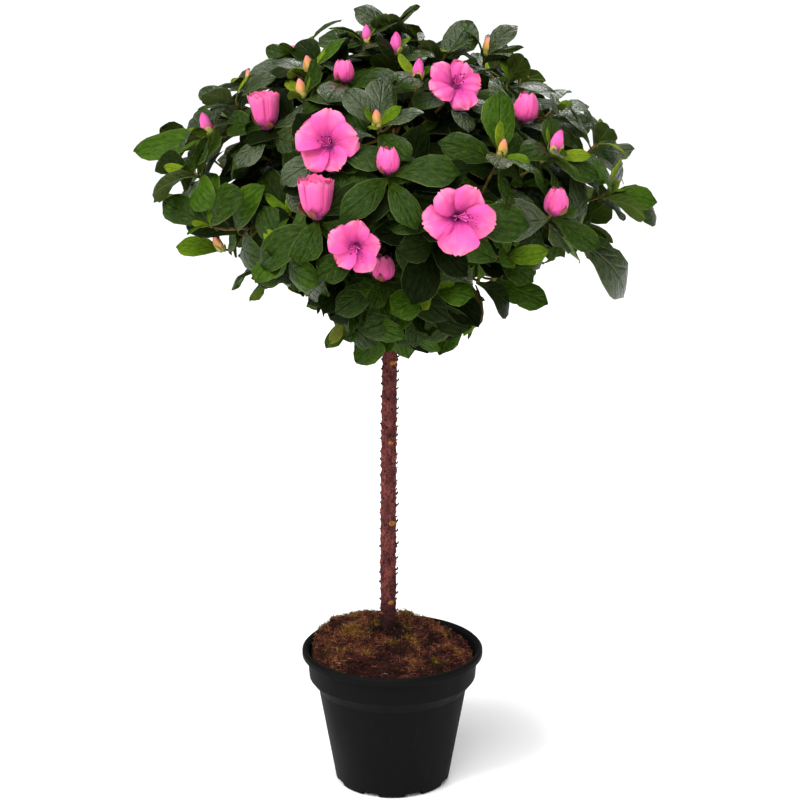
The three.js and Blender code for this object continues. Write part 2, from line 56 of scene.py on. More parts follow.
# The pot, in millimetres.
POT_HEIGHT = 132
POT_RIM_R = 85
POT_COLLAR_R = 80
POT_WAIST_R = 70
POT_FOOT_R = 54
POT_WALL = 1.5
LIP_HEIGHT = 8
COLLAR_HEIGHT = 20
SHOULDER_HEIGHT = 11
POT_DRAFT = 1.5
POT_STEPS = 128
FOOT_NOTCHES = 8
NOTCH_WIDTH = 17
NOTCH_DEPTH = 9
NOTCH_HEIGHT = 4.5
DRAIN_HOLES = 6
DRAIN_HOLE_R = 5
DRAIN_RING_R = 30
DRAIN_HOLE_SIDES = 24
NOTCH_ROUNDING = 1.2
POT_ROUNDING = 0.55
BLUNT_ANGLE = 12  # degrees: flatter edges of the pot aren't rounded
SHARP_ANGLE = 38  # and sharper ones stay sharp to the eye

# The peat.
SOIL_EDGE_Z = 126
SOIL_MOUND = 13
SOIL_TILT = 5
SOIL_LUMP = 1.6
SOIL_EDGE_R = POT_COLLAR_R - POT_DRAFT - POT_WALL - 2 * CLEAR
SOIL_STEPS = 150
SOIL_RINGS = 42
SOIL_ROUGH = 1.7
SOIL_LUMPS = [(16, 1.8), (6, 1), (2.2, 0.6)]  # widths, and shares of the roughness
SOIL_BANK = 8  # how far the peat is banked up at the back left
SOIL_COLLAR = 3  # and how far at the stem's foot
CRUMBS = 1100
FIBRES = 9500
FIBRE_LENGTH = (3, 9)
FIBRE_WIDTH = (5, 10)  # in units of the slender shape that each one copies
FIBRE_PATCH = 15  # the size of the patches in which fibres are alike
MOSS_BLADES = 2100
MOSS_LENGTH = (2.2, 4.6)
MOSS_PATCHES = [  # across, back and radius of each cushion
    (-39, 14, 9), (18, -1, 8), (-1, -10, 6), (-68, 30, 7), (-56, 48, 8), (34, 66, 7), (-17, 24, 9),
    (14, 62, 9), (-24, -32, 5), (-39, 52, 10), (12, 24, 7), (52, 30, 5), (-6, 40, 8), (40, -36, 5),
    (-46, -22, 5), (60, -8, 4),
]

# The stem.
TRUNK_FOOT = np.array([-4.0, 18.0, 139.0])
TRUNK_TIP = np.array([1.0, 8.0, 566.0])
TRUNK_BOW = 3
TRUNK_FOOT_R = 7
TRUNK_TIP_R = 5.2
TRUNK_TAPER = 2.2
FLARE_R = 9.4
FLARE_HEIGHT = 16
BARK_FLARE = 0.3  # how much of the flare the peat leaves in view
TRUNK_SUNK = 2.5  # how far the bark goes on below the peat's top
TRUNK_RINGS = 420
TRUNK_SIDES = 44
SCAR_TOP = 520
SCAR_RUN = 26  # how far up the pattern of growths comes round again
SCARS = [  # height in the run, turn in degrees from +X, and kind
    (1, 182, "stub"), (3, 12, "hook"), (4, 92, "stub"), (5, 300, "stub"), (8, 166, "stub"),
    (10, 348, "knob"), (11, 132, "stub"), (12, 218, "knob"), (13, 4, "hook"), (15, 262, "stub"),
    (16, 60, "knob"), (17, 191, "stub"), (19, 316, "stub"), (21, 352, "knob"), (22, 100, "stub"),
    (23, 238, "stub"), (24, 18, "hook"), (25, 296, "ochre"),
]
OCHRE_RUNS = 3  # only every so many runs have the ochre knob

# The crown's outline and its masses.
CROWN = np.array([2.0, 5.0, 560.0])
CROWN_R = 232
CROWN_ABOVE = 168
CROWN_BELOW = 160
ROUNDNESS_ABOVE = 1.6
ROUNDNESS_BELOW = 1.2
OVERREACH = 1.05
SEEN_FROM = np.array([7.0, -1800, 840])
SKY_GAPS = [  # across, height and radius at the crown's middle of each bay or gap in the foliage
    (-166, 502, 20), (-144, 487, 14), (-97, 456, 16), (-64, 437, 10), (81, 482, 10), (95, 452, 13),
    (144, 489, 12), (150, 668, 13), (187, 642, 11), (126, 692, 8), (221, 589, 11), (35, 711, 14),
    (-149, 668, 8), (-114, 678, 7), (-223, 571, 9), (-215, 548, 8), (-5, 515, 10),
]
GAP_CHECKS = [0.5, 0.8, 1]  # shares of a leaf's length at which it has to miss the gaps
RINGS = [
    {"name": "top", "count": 1, "elevation": 90, "turn": 0, "bough_z": [TRUNK_TIP[2]]},
    {"name": "upper", "count": 4, "elevation": 36, "turn": -90, "bough_z": [541, 533]},
    {"name": "middle", "count": 6, "elevation": -4, "turn": -60, "bough_z": [522, 503]},
    {"name": "lower", "count": 3, "elevation": -48, "turn": -90, "bough_z": [484]},
]
MASS_MIDDLE = 0.66
BOUGH_END = 0.36
BOUGH_FOOT_R = 3.9
BOUGH_TIP_R = 2.9
BOUGH_RISE = 12
STEM_TIP_R = 1.7
STEM_BEYOND = 0.08  # how far past its mass's middle a stem ends
STEM_PULL = 0.45
TWIG_RADII = [1.5, 1.05, 1.25]
TWIG_FIRST = 0.1  # the shares of a stem between which twigs leave it
TWIG_LAST = 0.9
TWIG_SLOPE = 0.7
TWIG_STRAY = 0.08
TWIG_NECK = 2  # how far below its last leaf a twig has its shoot's direction
BRANCH_SHARES = [0.35, 0.7]  # where a finer twig leaves its host
BOUGH_STEPS, BOUGH_SIDES = 22, 14
STEM_STEPS, STEM_SIDES = 18, 10
TWIG_STEPS, TWIG_SIDES = 9, 6

# The shoots and their leaves.
OUTER_SHOOTS = 98
INNER_SHOOTS = 14
FILL_SHOOTS = 84
LOWEST_SHOOT = -0.93
SHOOT_DEPTH = [22, 40]
INNER_DEPTH = 0.62
INNER_SPREAD = 0.12
FILL_DEPTH = [0.4, 0.76]  # shares of the crown's reach
SCATTER = 0.14
SHOOT_OUT = 0.75  # how much a shoot points outwards
SHOOT_UP = 0.65  # and upwards
LEAVES_PER_SHOOT = 6
OLDER_LEAVES = 1
YOUNG_LEAVES = 3
LEAF_LENGTH = [48, 65]
OLDER_LENGTH = [38, 58]
OLDER_SPREAD = [82, 106]
OLDER_DEPTH = [15, 31]
YOUNG_LENGTH = [34, 14]
LEAF_SHORTER_ABOVE = 0.16  # by what share leaves are shorter at the top of the crown
LEAF_SHORTEST_FROM = 0.6  # the sine of the elevation from which they are that short
LEAF_WIDTH_SHARE = 0.5
LEAF_SPREAD = [84, 52]
LEAF_SPREAD_UNDER_BLOOM = [98, 78]
YOUNG_SPREAD = [46, 14]
TURN_STRAY = 0.3
SPREAD_STRAY = 14
LEAF_DROOP = 0.16
LEAF_TRIES = [(1, 1), (0.84, 1), (0.75, 0.7)]  # shares of length and spread, till the leaf fits
TOP_UPRIGHT = 0.16  # how much less the leaves spread at the very top
LEAF_LOOKS_OUT = 0.7  # how much a blade turns its face away from the crown's middle
LEAF_ROLL = 0.34
WHORL_DEPTH = 11
WHORL_BELOW_TIP = 1.2
WHORL_BELOW_BLOOM = 4
NEAR_BLOOM = 160  # leaves of shoots further off than this can't reach a bloom
FURTHEST_LOOK = np.array([0, -0.75, 0.65])  # which way the furthest leaves turn their faces
FURTHEST_TIPS = [  # across, back, height and length of the leaves that reach furthest
    (210, -50, 480, 72), (238, -10, 545, 64), (-229, -5, 600, 56), (-31, 0, 725, 42), (70, 5, 711, 44),
    (108, 5, 710, 46), (-31, -20, 411, 56), (42, -15, 416, 54), (139, -30, 467, 52), (106, -40, 462, 56),
    (-137, -30, 488, 56), (-192, -20, 518, 50), (-128, 0, 658, 50), (-60, 10, 702, 44),
]

# The blooms.
BLOOM_LEVEL = 0.93
FRONT_SHOOTS = [  # across, height, bloom, size
    (-57, 631, "open", 1.05), (60, 678, "open", 0.9), (59, 572, "open", 1.12), (-31, 544, "open", 0.88),
    (-127, 645, "half", 1.15), (-46, 684, "half", 0.82), (-72, 571, "half", 1.3), (-3, 611, "half", 0.88),
    (-8, 502, "half", 0.88), (132, 648, "half", 1), (153, 566, "half", 0.95), (-177, 624, "bud", 1.25),
    (25, 685, "bud", 1.1), (-78, 685, "bud", 1), (-24, 711, "bud", 1), (4, 706, "bud", 1.2),
    (91, 697, "bud", 1), (152, 617, "bud", 1.3), (97, 620, "bud", 0.9), (-13, 646, "bud", 0.9),
    (37, 498, "bud", 0.8), (3, 440, "none", 1), (106, 525, "none", 1), (-100, 526, "none", 1),
    (-172, 546, "none", 1), (176, 532, "none", 1), (-190, 592, "none", 1),
]
BLOOM_SHARES = {"open": 0.14, "half": 0.3, "bud": 0.55}
FRONT_BUDS = 0.3
BACK_BEGINS = 0.3
NO_BLOOM_BELOW = -0.6
BLOOM_DEPTH = {"open": 24, "half": 26, "bud": 16, "none": 22}
BLOOM_SUNK = 1.5
BLOOM_LEAN = {"open": (1, 0.12), "half": (0.1, 1), "bud": (0.4, 0.9)}  # outwards and up
FLOWER_FORWARD = 0.9  # how much the open flowers in front also turn to the front
FLOWER_R = 24.5
FLOWER_DEPTH = 18
HALF_FLOWER_R = 10.8
HALF_FLOWER_HEIGHT = 25
BUD_R = 4.3
BUD_HEIGHT = 17
BLOOM_ROOM = {  # how far out a bloom needs room, how high its lip is, and what is kept free beyond
    "open": (FLOWER_R + 8, FLOWER_DEPTH, 60),
    "half": (HALF_FLOWER_R + 4, HALF_FLOWER_HEIGHT, 14),
    "bud": (BUD_R + 2, BUD_HEIGHT, 8),
}
BLOOM_CHECKS = [0.3, 0.55, 0.8, 1]  # shares of a leaf's length at which it has to miss the blooms
CUP_FOOT = 0.35  # shares of the lip's height: leaves may pass below a cup of this foot and slope
CUP_SLOPE = 0.5
SIGHT_SHARE = 0.85  # how much of its reach a bloom shown in front keeps in full view
PETALS = 5
STAMENS = 7
HALF_FLOWER_SCALES = 3
BUD_SCALES = 5

# Where each kind of draw starts.
CRUMB_DRAWS = 11
FIBRE_DRAWS = 12
MOSS_DRAWS = 13
LOBE_DRAWS = 21
BUD_DRAWS = 33
FURLED_DRAWS = 55
STAMEN_DRAWS = 77
OUTER_DRAWS = 100
TWIG_DRAWS = 300
INNER_DRAWS = 400
FILL_DRAWS = 600
LEAF_DRAWS = 917
BLOOM_DRAWS = 5000
TONE_DRAWS = 7000
SCAR_DRAWS = 9000

# The studio, in metres.
SKY_POWER = 0.22
BROAD_POWER = 3.6  # a wide soft light that also whitens the floor
BROAD_SPREAD = 64
BROAD_PLACE = (-1.0, -1.9, 3.7)
LAMPS = [  # name, place, width and power
    ("key", (-1.2, -1.5, 2.2), 0.7, 26),
    ("fill", (1.7, -1.9, 1.1), 1.2, 10),
    ("back", (0.5, 1.7, 2.2), 1.0, 26),
]
CAMERA_PLACE = (0.00717, -1.8, 0.84)
CAMERA_TILT = 75.4  # degrees from straight down
CAMERA_LENS = 91.575
SENSOR = 36


# ---------------------------------------------------------------- draws, curves and directions

def dice(seed):
    """Numbers from 0 to 1 that are the same on every run."""
    state = seed * 2654435761 % 2**32

    def roll():
        nonlocal state
        state = (state * 1664525 + 1013904223) % 2**32
        return state / 2**32

    roll()
    roll()
    return roll


def between(ends, share):
    return ends[0] + (ends[1] - ends[0]) * share


def ease(low, high, value):
    """A smooth step from 0 at low to 1 at high."""
    share = min(1, max(0, (value - low) / (high - low)))
    return share * share * (3 - 2 * share)


def dealt(lot, shares, otherwise):
    """The first name whose share the lot stays below."""
    return next((name for name, most in shares.items() if lot < most), otherwise)


def unit(vector):
    return vector / norm(vector)


def around(axis):
    """Two directions square to an axis and to each other."""
    upright = abs(axis[2]) > 0.98
    side = unit(np.array([1.0, 0, 0]) if upright else np.cross(UP, axis))
    return side, unit(np.cross(axis, side))


def square_to(axis, turn):
    """The direction square to an axis that is turned so far about it."""
    side, other = around(axis)
    return side * cos(turn) + other * sin(turn)


def direction_of(elevation, turn):
    level = cos(elevation)
    return np.array([level * cos(turn), level * sin(turn), sin(elevation)])


class Bow:
    """A curve from start to end that is drawn towards a third point on its way."""

    def __init__(self, start, pull, end):
        self.start, self.pull, self.end = start, pull, end
        self.steps = np.linspace(0, 1, 101)
        points = np.array([self.at(step) for step in self.steps])
        travel = np.cumsum(norm(np.diff(points, axis=0), axis=1))
        self.travel = np.concatenate([[0], travel]) / travel[-1]

    def at(self, step):
        rest = 1 - step
        return rest * rest * self.start + 2 * rest * step * self.pull + step * step * self.end

    def spaced(self, share):
        return self.at(np.interp(share, self.travel, self.steps))

    def way(self, share):
        step = np.interp(share, self.travel, self.steps)
        return unit((1 - step) * (self.pull - self.start) + step * (self.end - self.pull))

    def points(self, count):
        return [self.spaced(i / (count - 1)) for i in range(count)]


# ---------------------------------------------------------------- the rule that the plant grows by

def half_of_crown(above):
    """How far the crown's upper or lower half rises, and how round it is."""
    return (CROWN_ABOVE, ROUNDNESS_ABOVE) if above else (CROWN_BELOW, ROUNDNESS_BELOW)


def crown_reach(direction):
    rise, roundness = half_of_crown(direction[2] > 0)
    level = hypot(direction[0], direction[1]) / CROWN_R
    return (level**roundness + (abs(direction[2]) / rise) ** roundness) ** (-1 / roundness)


def in_crown(direction, share):
    return CROWN + direction * crown_reach(direction) * share


def inside_outline(point):
    offset = point - CROWN
    distance = norm(offset)
    return distance < crown_reach(offset / distance) * OVERREACH


def on_front(across, height):
    """The place on the front of the crown that is so far across and so high up."""
    rise, roundness = half_of_crown(height > CROWN[2])
    part = abs(height - CROWN[2]) / (rise * BLOOM_LEVEL)
    level = CROWN_R * BLOOM_LEVEL * max(0, 1 - part**roundness) ** (1 / roundness)
    forward = sqrt(max(0, level**2 - (across - CROWN[0]) ** 2))
    return np.array([across, CROWN[1] - forward, height])


def shoot_at(direction, reach, seed, bloom="none", size=1, rank="outer", shown=False):
    return SimpleNamespace(
        tip=CROWN + direction * reach, axis=unit(direction * SHOOT_OUT + UP * SHOOT_UP),
        direction=direction, seed=seed, bloom=bloom, size=size, rank=rank, shown=shown,
    )


def shell_of_shoots(count, first_seed, rank, reach_of):
    shoots = []
    for i in range(count):
        roll = dice(first_seed + i)
        height = min(1, max(-1, 1 - 2 * (i + 0.5) / count + (roll() - 0.5) * SCATTER))
        turn = i * GOLDEN + (roll() - 0.5) * SCATTER * 2
        if height < LOWEST_SHOOT:
            continue
        direction = direction_of(asin(height), turn)
        shoots.append(shoot_at(direction, reach_of(direction, roll()), first_seed + i, rank=rank))
    return shoots


def bloom_by_lot(shoot):
    share = dice(shoot.seed + BLOOM_DRAWS)()
    if shoot.direction[2] < NO_BLOOM_BELOW:
        return "none"
    if shoot.direction[1] < BACK_BEGINS:
        return "bud" if share < FRONT_BUDS else "none"
    return dealt(share, BLOOM_SHARES, "none")


def main_shoots():
    """The outer and inner shoots, which the solids have too."""
    outer = shell_of_shoots(
        OUTER_SHOOTS, OUTER_DRAWS, "outer",
        lambda direction, share: crown_reach(direction) - between(SHOOT_DEPTH, share),
    )
    free = list(outer)
    for across, height, bloom, size in FRONT_SHOOTS:
        offset = on_front(across, height) - CROWN
        direction = unit(offset)
        reach = norm(offset) - BLOOM_DEPTH[bloom] * size
        nearest = max(free, key=lambda shoot: shoot.direction @ direction)
        free = [shoot for shoot in free if shoot is not nearest]
        shown = shoot_at(direction, reach, nearest.seed, bloom, size, shown=True)
        nearest.__dict__.update(shown.__dict__)
    for shoot in free:
        shoot.bloom = bloom_by_lot(shoot)
    inner = shell_of_shoots(
        INNER_SHOOTS, INNER_DRAWS, "inner",
        lambda direction, share: crown_reach(direction)
        * (INNER_DEPTH + (share - 0.5) * INNER_SPREAD),
    )
    return outer + inner


def fill_shoots():
    """Finer shoots inside the crown, which carry on from the main ones."""
    return shell_of_shoots(
        FILL_SHOOTS, FILL_DRAWS, "fill",
        lambda direction, share: crown_reach(direction) * between(FILL_DEPTH, share),
    )


def all_masses():
    masses = []
    for ring in RINGS:
        for i in range(ring["count"]):
            direction = direction_of(
                radians(ring["elevation"]), radians(ring["turn"] + 360 * i / ring["count"])
            )
            name = ring["name"] if ring["count"] == 1 else f"{ring['name']}_{i + 1}"
            masses.append(SimpleNamespace(
                name=name,
                direction=direction,
                middle=in_crown(direction, MASS_MIDDLE),
                bough_end=in_crown(direction, BOUGH_END),
                bough_z=ring["bough_z"][i % len(ring["bough_z"])],
            ))
    return masses


def owner_of(masses, point):
    return min(masses, key=lambda mass: norm(mass.middle - point))


def trunk_bow():
    middle = (TRUNK_FOOT + TRUNK_TIP) / 2
    middle[0] -= TRUNK_BOW
    return Bow(TRUNK_FOOT, middle, TRUNK_TIP)


def trunk_at(height):
    return trunk_bow().at((height - TRUNK_FOOT[2]) / (TRUNK_TIP[2] - TRUNK_FOOT[2]))


def bough_bow(mass):
    start = trunk_at(mass.bough_z)
    middle = (start + mass.bough_end) / 2
    if mass.bough_z < TRUNK_TIP[2]:
        middle[2] += BOUGH_RISE
    return Bow(start, middle, mass.bough_end)


def stem_bow(mass):
    onwards = bough_bow(mass).way(1)
    tip = in_crown(mass.direction, MASS_MIDDLE + STEM_BEYOND)
    middle = mass.bough_end + onwards * norm(tip - mass.bough_end) * STEM_PULL
    return Bow(mass.bough_end, middle, tip)


def twig_bow(stem, shoot):
    """A twig leaves its mass's stem on the way past and bends into its shoot's own direction."""
    way = stem.end - stem.start
    length = norm(way)
    way = way / length
    offset = shoot.tip - stem.start
    along = offset @ way
    away = norm(offset - way * along)
    place = min(TWIG_LAST, max(TWIG_FIRST, (along - away * TWIG_SLOPE) / length))
    start = stem.spaced(place + TWIG_STRAY * dice(shoot.seed + TWIG_DRAWS)())
    neck = shoot.tip - shoot.axis * (WHORL_DEPTH + WHORL_BELOW_BLOOM + TWIG_NECK)
    return Bow(start, neck, shoot.tip)


def branched_twig(shoot, neighbours):
    """A finer twig leaves the nearest main shoot's twig half way along."""
    host = min(neighbours, key=lambda other: norm(other.tip - shoot.tip))
    place = between(BRANCH_SHARES, dice(shoot.seed + TWIG_DRAWS)())
    neck = shoot.tip - shoot.axis * (WHORL_DEPTH + WHORL_BELOW_BLOOM)
    return Bow(host.twig.spaced(place), neck, shoot.tip)


GAP_WAYS = np.array([unit(np.array([gap[0], CROWN[1], gap[1]]) - SEEN_FROM) for gap in SKY_GAPS])
GAP_RADII = np.array([gap[2] for gap in SKY_GAPS])


def clear_of_gaps(root, along, length):
    """Whether a leaf leaves the gaps free, from its middle to its tip."""
    for share in GAP_CHECKS:
        offset = root + along * length * share - SEEN_FROM
        room = length * LEAF_WIDTH_SHARE / 4 if share < 1 else 0
        if np.any(norm(np.cross(GAP_WAYS, offset), axis=1) < GAP_RADII + room):
            return False
    return True


def bloom_axis(shoot):
    out, up = BLOOM_LEAN[shoot.bloom]
    forward = FLOWER_FORWARD if shoot.shown and shoot.bloom == "open" else 0
    return unit(shoot.direction * out + UP * up - np.array([0, forward, 0]))


def clear_of_blooms(blooms, root, along, length):
    """Whether a leaf leaves the room in and before each bloom free."""
    tries = root + np.outer(np.array(BLOOM_CHECKS) * length, along)
    for bloom in blooms:
        offsets = tries - bloom.tip
        heights = offsets @ bloom.axis
        outs = norm(offsets - np.outer(heights, bloom.axis), axis=1)
        before = heights > bloom.lip * (CUP_FOOT + CUP_SLOPE * outs / bloom.reach)
        if np.any(before & (heights < bloom.lip + bloom.view) & (outs < bloom.reach)):
            return False
        if bloom.shown:
            offsets = tries - bloom.tip - bloom.axis * bloom.lip / 2
            ahead = offsets @ bloom.sight
            outs = norm(offsets - np.outer(ahead, bloom.sight), axis=1)
            if np.any((ahead > 0) & (outs < bloom.reach * SIGHT_SHARE)):
                return False
    return True


def room_of(shoot):
    """The room that a bloom takes."""
    reach, lip, view = BLOOM_ROOM[shoot.bloom]
    return SimpleNamespace(
        tip=shoot.tip, axis=bloom_axis(shoot), reach=reach * shoot.size, lip=lip * shoot.size,
        view=view, shown=shoot.shown, sight=unit(SEEN_FROM - shoot.tip),
    )


def grow_leaf(shoot, blooms, turn, spread, length, depth, age):
    """A leaf on its shoot: turn and spread aim it, and depth is how far below the tip it sits."""
    outwards = square_to(shoot.axis, turn)
    root = shoot.tip - shoot.axis * depth
    for longer, closer in LEAF_TRIES:
        aim = radians(spread * closer)
        along = unit(shoot.axis * cos(aim) + outwards * sin(aim) - UP * LEAF_DROOP)
        fits = inside_outline(root + along * length * longer)
        fits = fits and clear_of_blooms(blooms, root, along, length * longer)
        if fits and clear_of_gaps(root, along, length * longer):
            return SimpleNamespace(
                shoot=shoot, root=root, along=along, length=length * longer, age=age
            )
    return None


def leaves_of(shoot, blooms):
    """The whorl of full-grown leaves, then older ones below it and young ones in its middle."""
    roll = dice(shoot.seed + LEAF_DRAWS)
    start = roll() * 2 * pi
    flowering = shoot.bloom in ("open", "half")
    spreads = LEAF_SPREAD_UNDER_BLOOM if flowering else LEAF_SPREAD
    upright = 1 - TOP_UPRIGHT * max(0, shoot.direction[2])
    shorter = LEAF_SHORTER_ABOVE * ease(0, LEAF_SHORTEST_FROM, shoot.direction[2])
    below = WHORL_BELOW_TIP if shoot.bloom == "none" else WHORL_BELOW_BLOOM
    leaves = []
    for i in range(LEAVES_PER_SHOOT):
        share = i / (LEAVES_PER_SHOOT - 1)
        turn = start + i * GOLDEN + (roll() - 0.5) * TURN_STRAY
        spread = (between(spreads, share) + (roll() - 0.5) * SPREAD_STRAY) * upright
        length = between(LEAF_LENGTH, roll()) * (1 - shorter)
        depth = WHORL_DEPTH * (1 - share) + below
        leaves.append(grow_leaf(shoot, blooms, turn, spread, length, depth, "grown"))
    for i in range(OLDER_LEAVES):
        turn = start + (i + LEAVES_PER_SHOOT) * GOLDEN + roll() * 0.6
        length = between(OLDER_LENGTH, roll())
        spread, depth = between(OLDER_SPREAD, roll()), between(OLDER_DEPTH, roll())
        leaves.append(grow_leaf(shoot, blooms, turn, spread, length, depth, "old"))
    for i in range(0 if flowering or shoot.rank == "fill" else YOUNG_LEAVES):
        share = i / YOUNG_LEAVES
        turn = start + i * GOLDEN + 1 + roll() * 0.5
        length = between(YOUNG_LENGTH, share) * (0.85 + 0.3 * roll())
        spread = between(YOUNG_SPREAD, share) + 10 * roll()
        leaves.append(grow_leaf(shoot, blooms, turn, spread, length, below + 1 - share, "young"))
    return [leaf for leaf in leaves if leaf]


# ---------------------------------------------------------------- making meshes

def to_mesh(bm, name):
    """The finished bmesh as a smooth mesh."""
    for face in bm.faces:
        face.smooth = True
    mesh = bpy.data.meshes.new(name)
    bm.to_mesh(mesh)
    bm.free()
    return mesh


def put_in_scene(name, data):
    thing = bpy.data.objects.new(name, data)
    bpy.context.scene.collection.objects.link(thing)
    return thing


def make_piece(mesh, finish, slot, *nodes):
    """A piece of the plant that rides on its one body and may stand for some of its solids."""
    piece = put_in_scene(mesh.name, mesh)
    mesh.materials.append(finish.material)
    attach(piece, "root")
    if nodes:
        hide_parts(*nodes)


class Shape:
    """A small mesh that is repeated, kept as arrays."""

    def __init__(self, bm):
        bm.verts.index_update()
        layer = bm.loops.layers.uv.verify()
        loops = [loop for face in bm.faces for loop in face.loops]
        self.corners = np.array([vert.co[:] for vert in bm.verts])
        self.loops = np.array([loop.vert.index for loop in loops])
        self.sizes = np.array([len(face.verts) for face in bm.faces])
        self.places = np.array([loop[layer].uv[:] for loop in loops])
        bm.free()


def joined(name, copies):
    """One mesh of many copies, each a shape with the matrix that places it."""
    corners = np.concatenate(
        [shape.corners @ matrix[:3, :3].T + matrix[:3, 3] for shape, matrix in copies]
    )
    firsts = np.cumsum([0] + [len(shape.corners) for shape, _ in copies[:-1]])
    loops = np.concatenate([shape.loops + first for (shape, _), first in zip(copies, firsts)])
    sizes = np.concatenate([shape.sizes for shape, _ in copies])
    mesh = bpy.data.meshes.new(name)
    mesh.vertices.add(len(corners))
    mesh.vertices.foreach_set("co", corners.ravel())
    mesh.loops.add(len(loops))
    mesh.loops.foreach_set("vertex_index", loops)
    mesh.polygons.add(len(sizes))
    mesh.polygons.foreach_set("loop_start", np.cumsum(sizes) - sizes)
    mesh.uv_layers.new(name="OFBake")
    places = np.concatenate([shape.places for shape, _ in copies])
    mesh.uv_layers["OFBake"].uv.foreach_set("vector", places.ravel())
    mesh.polygons.foreach_set("use_smooth", np.ones(len(sizes), bool))
    mesh.update(calc_edges=True)
    return mesh


def placing(root, x, y, z):
    """The matrix in metres that carries a shape's own axes to x, y and z at a root in millimetres."""
    matrix = np.eye(4)
    matrix[:3, 0], matrix[:3, 1], matrix[:3, 2] = x * MM, y * MM, z * MM
    matrix[:3, 3] = root * MM
    return matrix


def facing(root, axis, size=1, turn=0, tall=None):
    """Places a shape with its +Z along an axis, turned about it, and of its own height or another."""
    x = square_to(axis, turn)
    return placing(root, x * size, np.cross(axis, x) * size, axis * (size if tall is None else tall))


def grow_tube(bm, points, radii, sides):
    """A closed round limb through points in millimetres, one ring extruded from the last."""
    points = np.array(points)
    ways = np.gradient(points, axis=0)
    across = around(unit(ways[0]))[0]
    last = None
    for point, way, radius in zip(points, ways, radii):
        way = unit(way)
        across = unit(across - way * (across @ way))
        third = np.cross(way, across)
        place = Matrix(placing(point, across * radius, third * radius, way * radius).tolist())
        if last is None:
            made = bmesh.ops.create_circle(bm, cap_ends=True, radius=1, segments=sides)
            ring = made["verts"]
            edges = list({edge for vert in ring for edge in vert.link_edges})
            bmesh.ops.transform(bm, matrix=place, verts=ring)
        else:
            made = bmesh.ops.extrude_edge_only(bm, edges=edges)["geom"]
            ring = [part for part in made if isinstance(part, bmesh.types.BMVert)]
            fresh = set(ring)
            edges = [
                part for part in made
                if isinstance(part, bmesh.types.BMEdge) and fresh.issuperset(part.verts)
            ]
            bmesh.ops.transform(bm, matrix=place @ last.inverted(), verts=ring)
        last = place
    bmesh.ops.edgeloop_fill(bm, edges=edges)


def limbs(name, runs, sides):
    """Limbs joined in one mesh, each from its points and radii."""
    bm = bmesh.new()
    for points, radii in runs:
        grow_tube(bm, points, radii, sides)
    bmesh.ops.recalc_face_normals(bm, faces=bm.faces)
    return to_mesh(bm, name)


def roughen(mesh, size, depth, stretch=1):
    """Lumps of a size and depth in millimetres, drawn out along +Z by the stretch."""
    for vert, normal in zip(mesh.vertices, [v.normal.copy() for v in mesh.vertices]):
        place = vert.co / (size * MM)
        place.z /= stretch
        vert.co += normal * noise.noise(place) * depth * MM


def sheet(surface, stations, columns, thickness):
    """A closed blade. The surface gives its upper side for a share along it and -1 to 1 across."""
    bm = bmesh.new()
    rows = len(stations) - 1
    bmesh.ops.create_grid(bm, x_segments=rows, y_segments=columns, size=1)
    layer = bm.loops.layers.uv.new("OFBake")
    upper = bm.verts[:] + bm.edges[:] + bm.faces[:]
    lower = set(bmesh.ops.duplicate(bm, geom=upper)["geom"])
    bmesh.ops.reverse_faces(bm, faces=[part for part in lower if isinstance(part, bmesh.types.BMFace)])
    for face in bm.faces:
        for loop in face.loops:
            x, y = loop.vert.co.xy
            side = 0.5 if face in lower else 0
            loop[layer].uv = (stations[round((x + 1) / 2 * rows)], 0.25 + 0.23 * y + side)
    for vert in bm.verts:
        along, across = stations[round((vert.co.x + 1) / 2 * rows)], vert.co.y
        point = Vector(surface(along, across))
        if vert in lower:
            step = 0.01
            forward = Vector(surface(along + step, across)) - Vector(surface(along - step, across))
            sideways = Vector(surface(along, across + step)) - Vector(surface(along, across - step))
            rim = (1 - across * across) * min(1, 6 * along, 6 * (1 - along))
            point -= forward.cross(sideways).normalized() * thickness * rim
        vert.co = point
    return bm


# ---------------------------------------------------------------- finishes

def paint(red, green, blue):
    """A colour as a screen shows it, from 0 to 255, made linear."""
    def linear(level):
        level /= 255
        return level / 12.92 if level <= 0.04045 else ((level + 0.055) / 1.055) ** 2.4

    return (linear(red), linear(green), linear(blue), 1)


def operator(operation, reflected=False):
    def apply(*values):
        return values[0].finish.math(operation, *(values[::-1] if reflected else values))

    return apply


class Amount:
    """Something that varies over a surface, so that sums on it are written as expressions."""

    def __init__(self, finish, socket):
        self.finish, self.socket = finish, socket

    __add__ = __radd__ = operator("ADD")
    __sub__ = operator("SUBTRACT")
    __rsub__ = operator("SUBTRACT", reflected=True)
    __mul__ = __rmul__ = operator("MULTIPLY")
    __truediv__ = operator("DIVIDE")
    __mod__ = operator("FLOORED_MODULO")
    __abs__ = operator("ABSOLUTE")


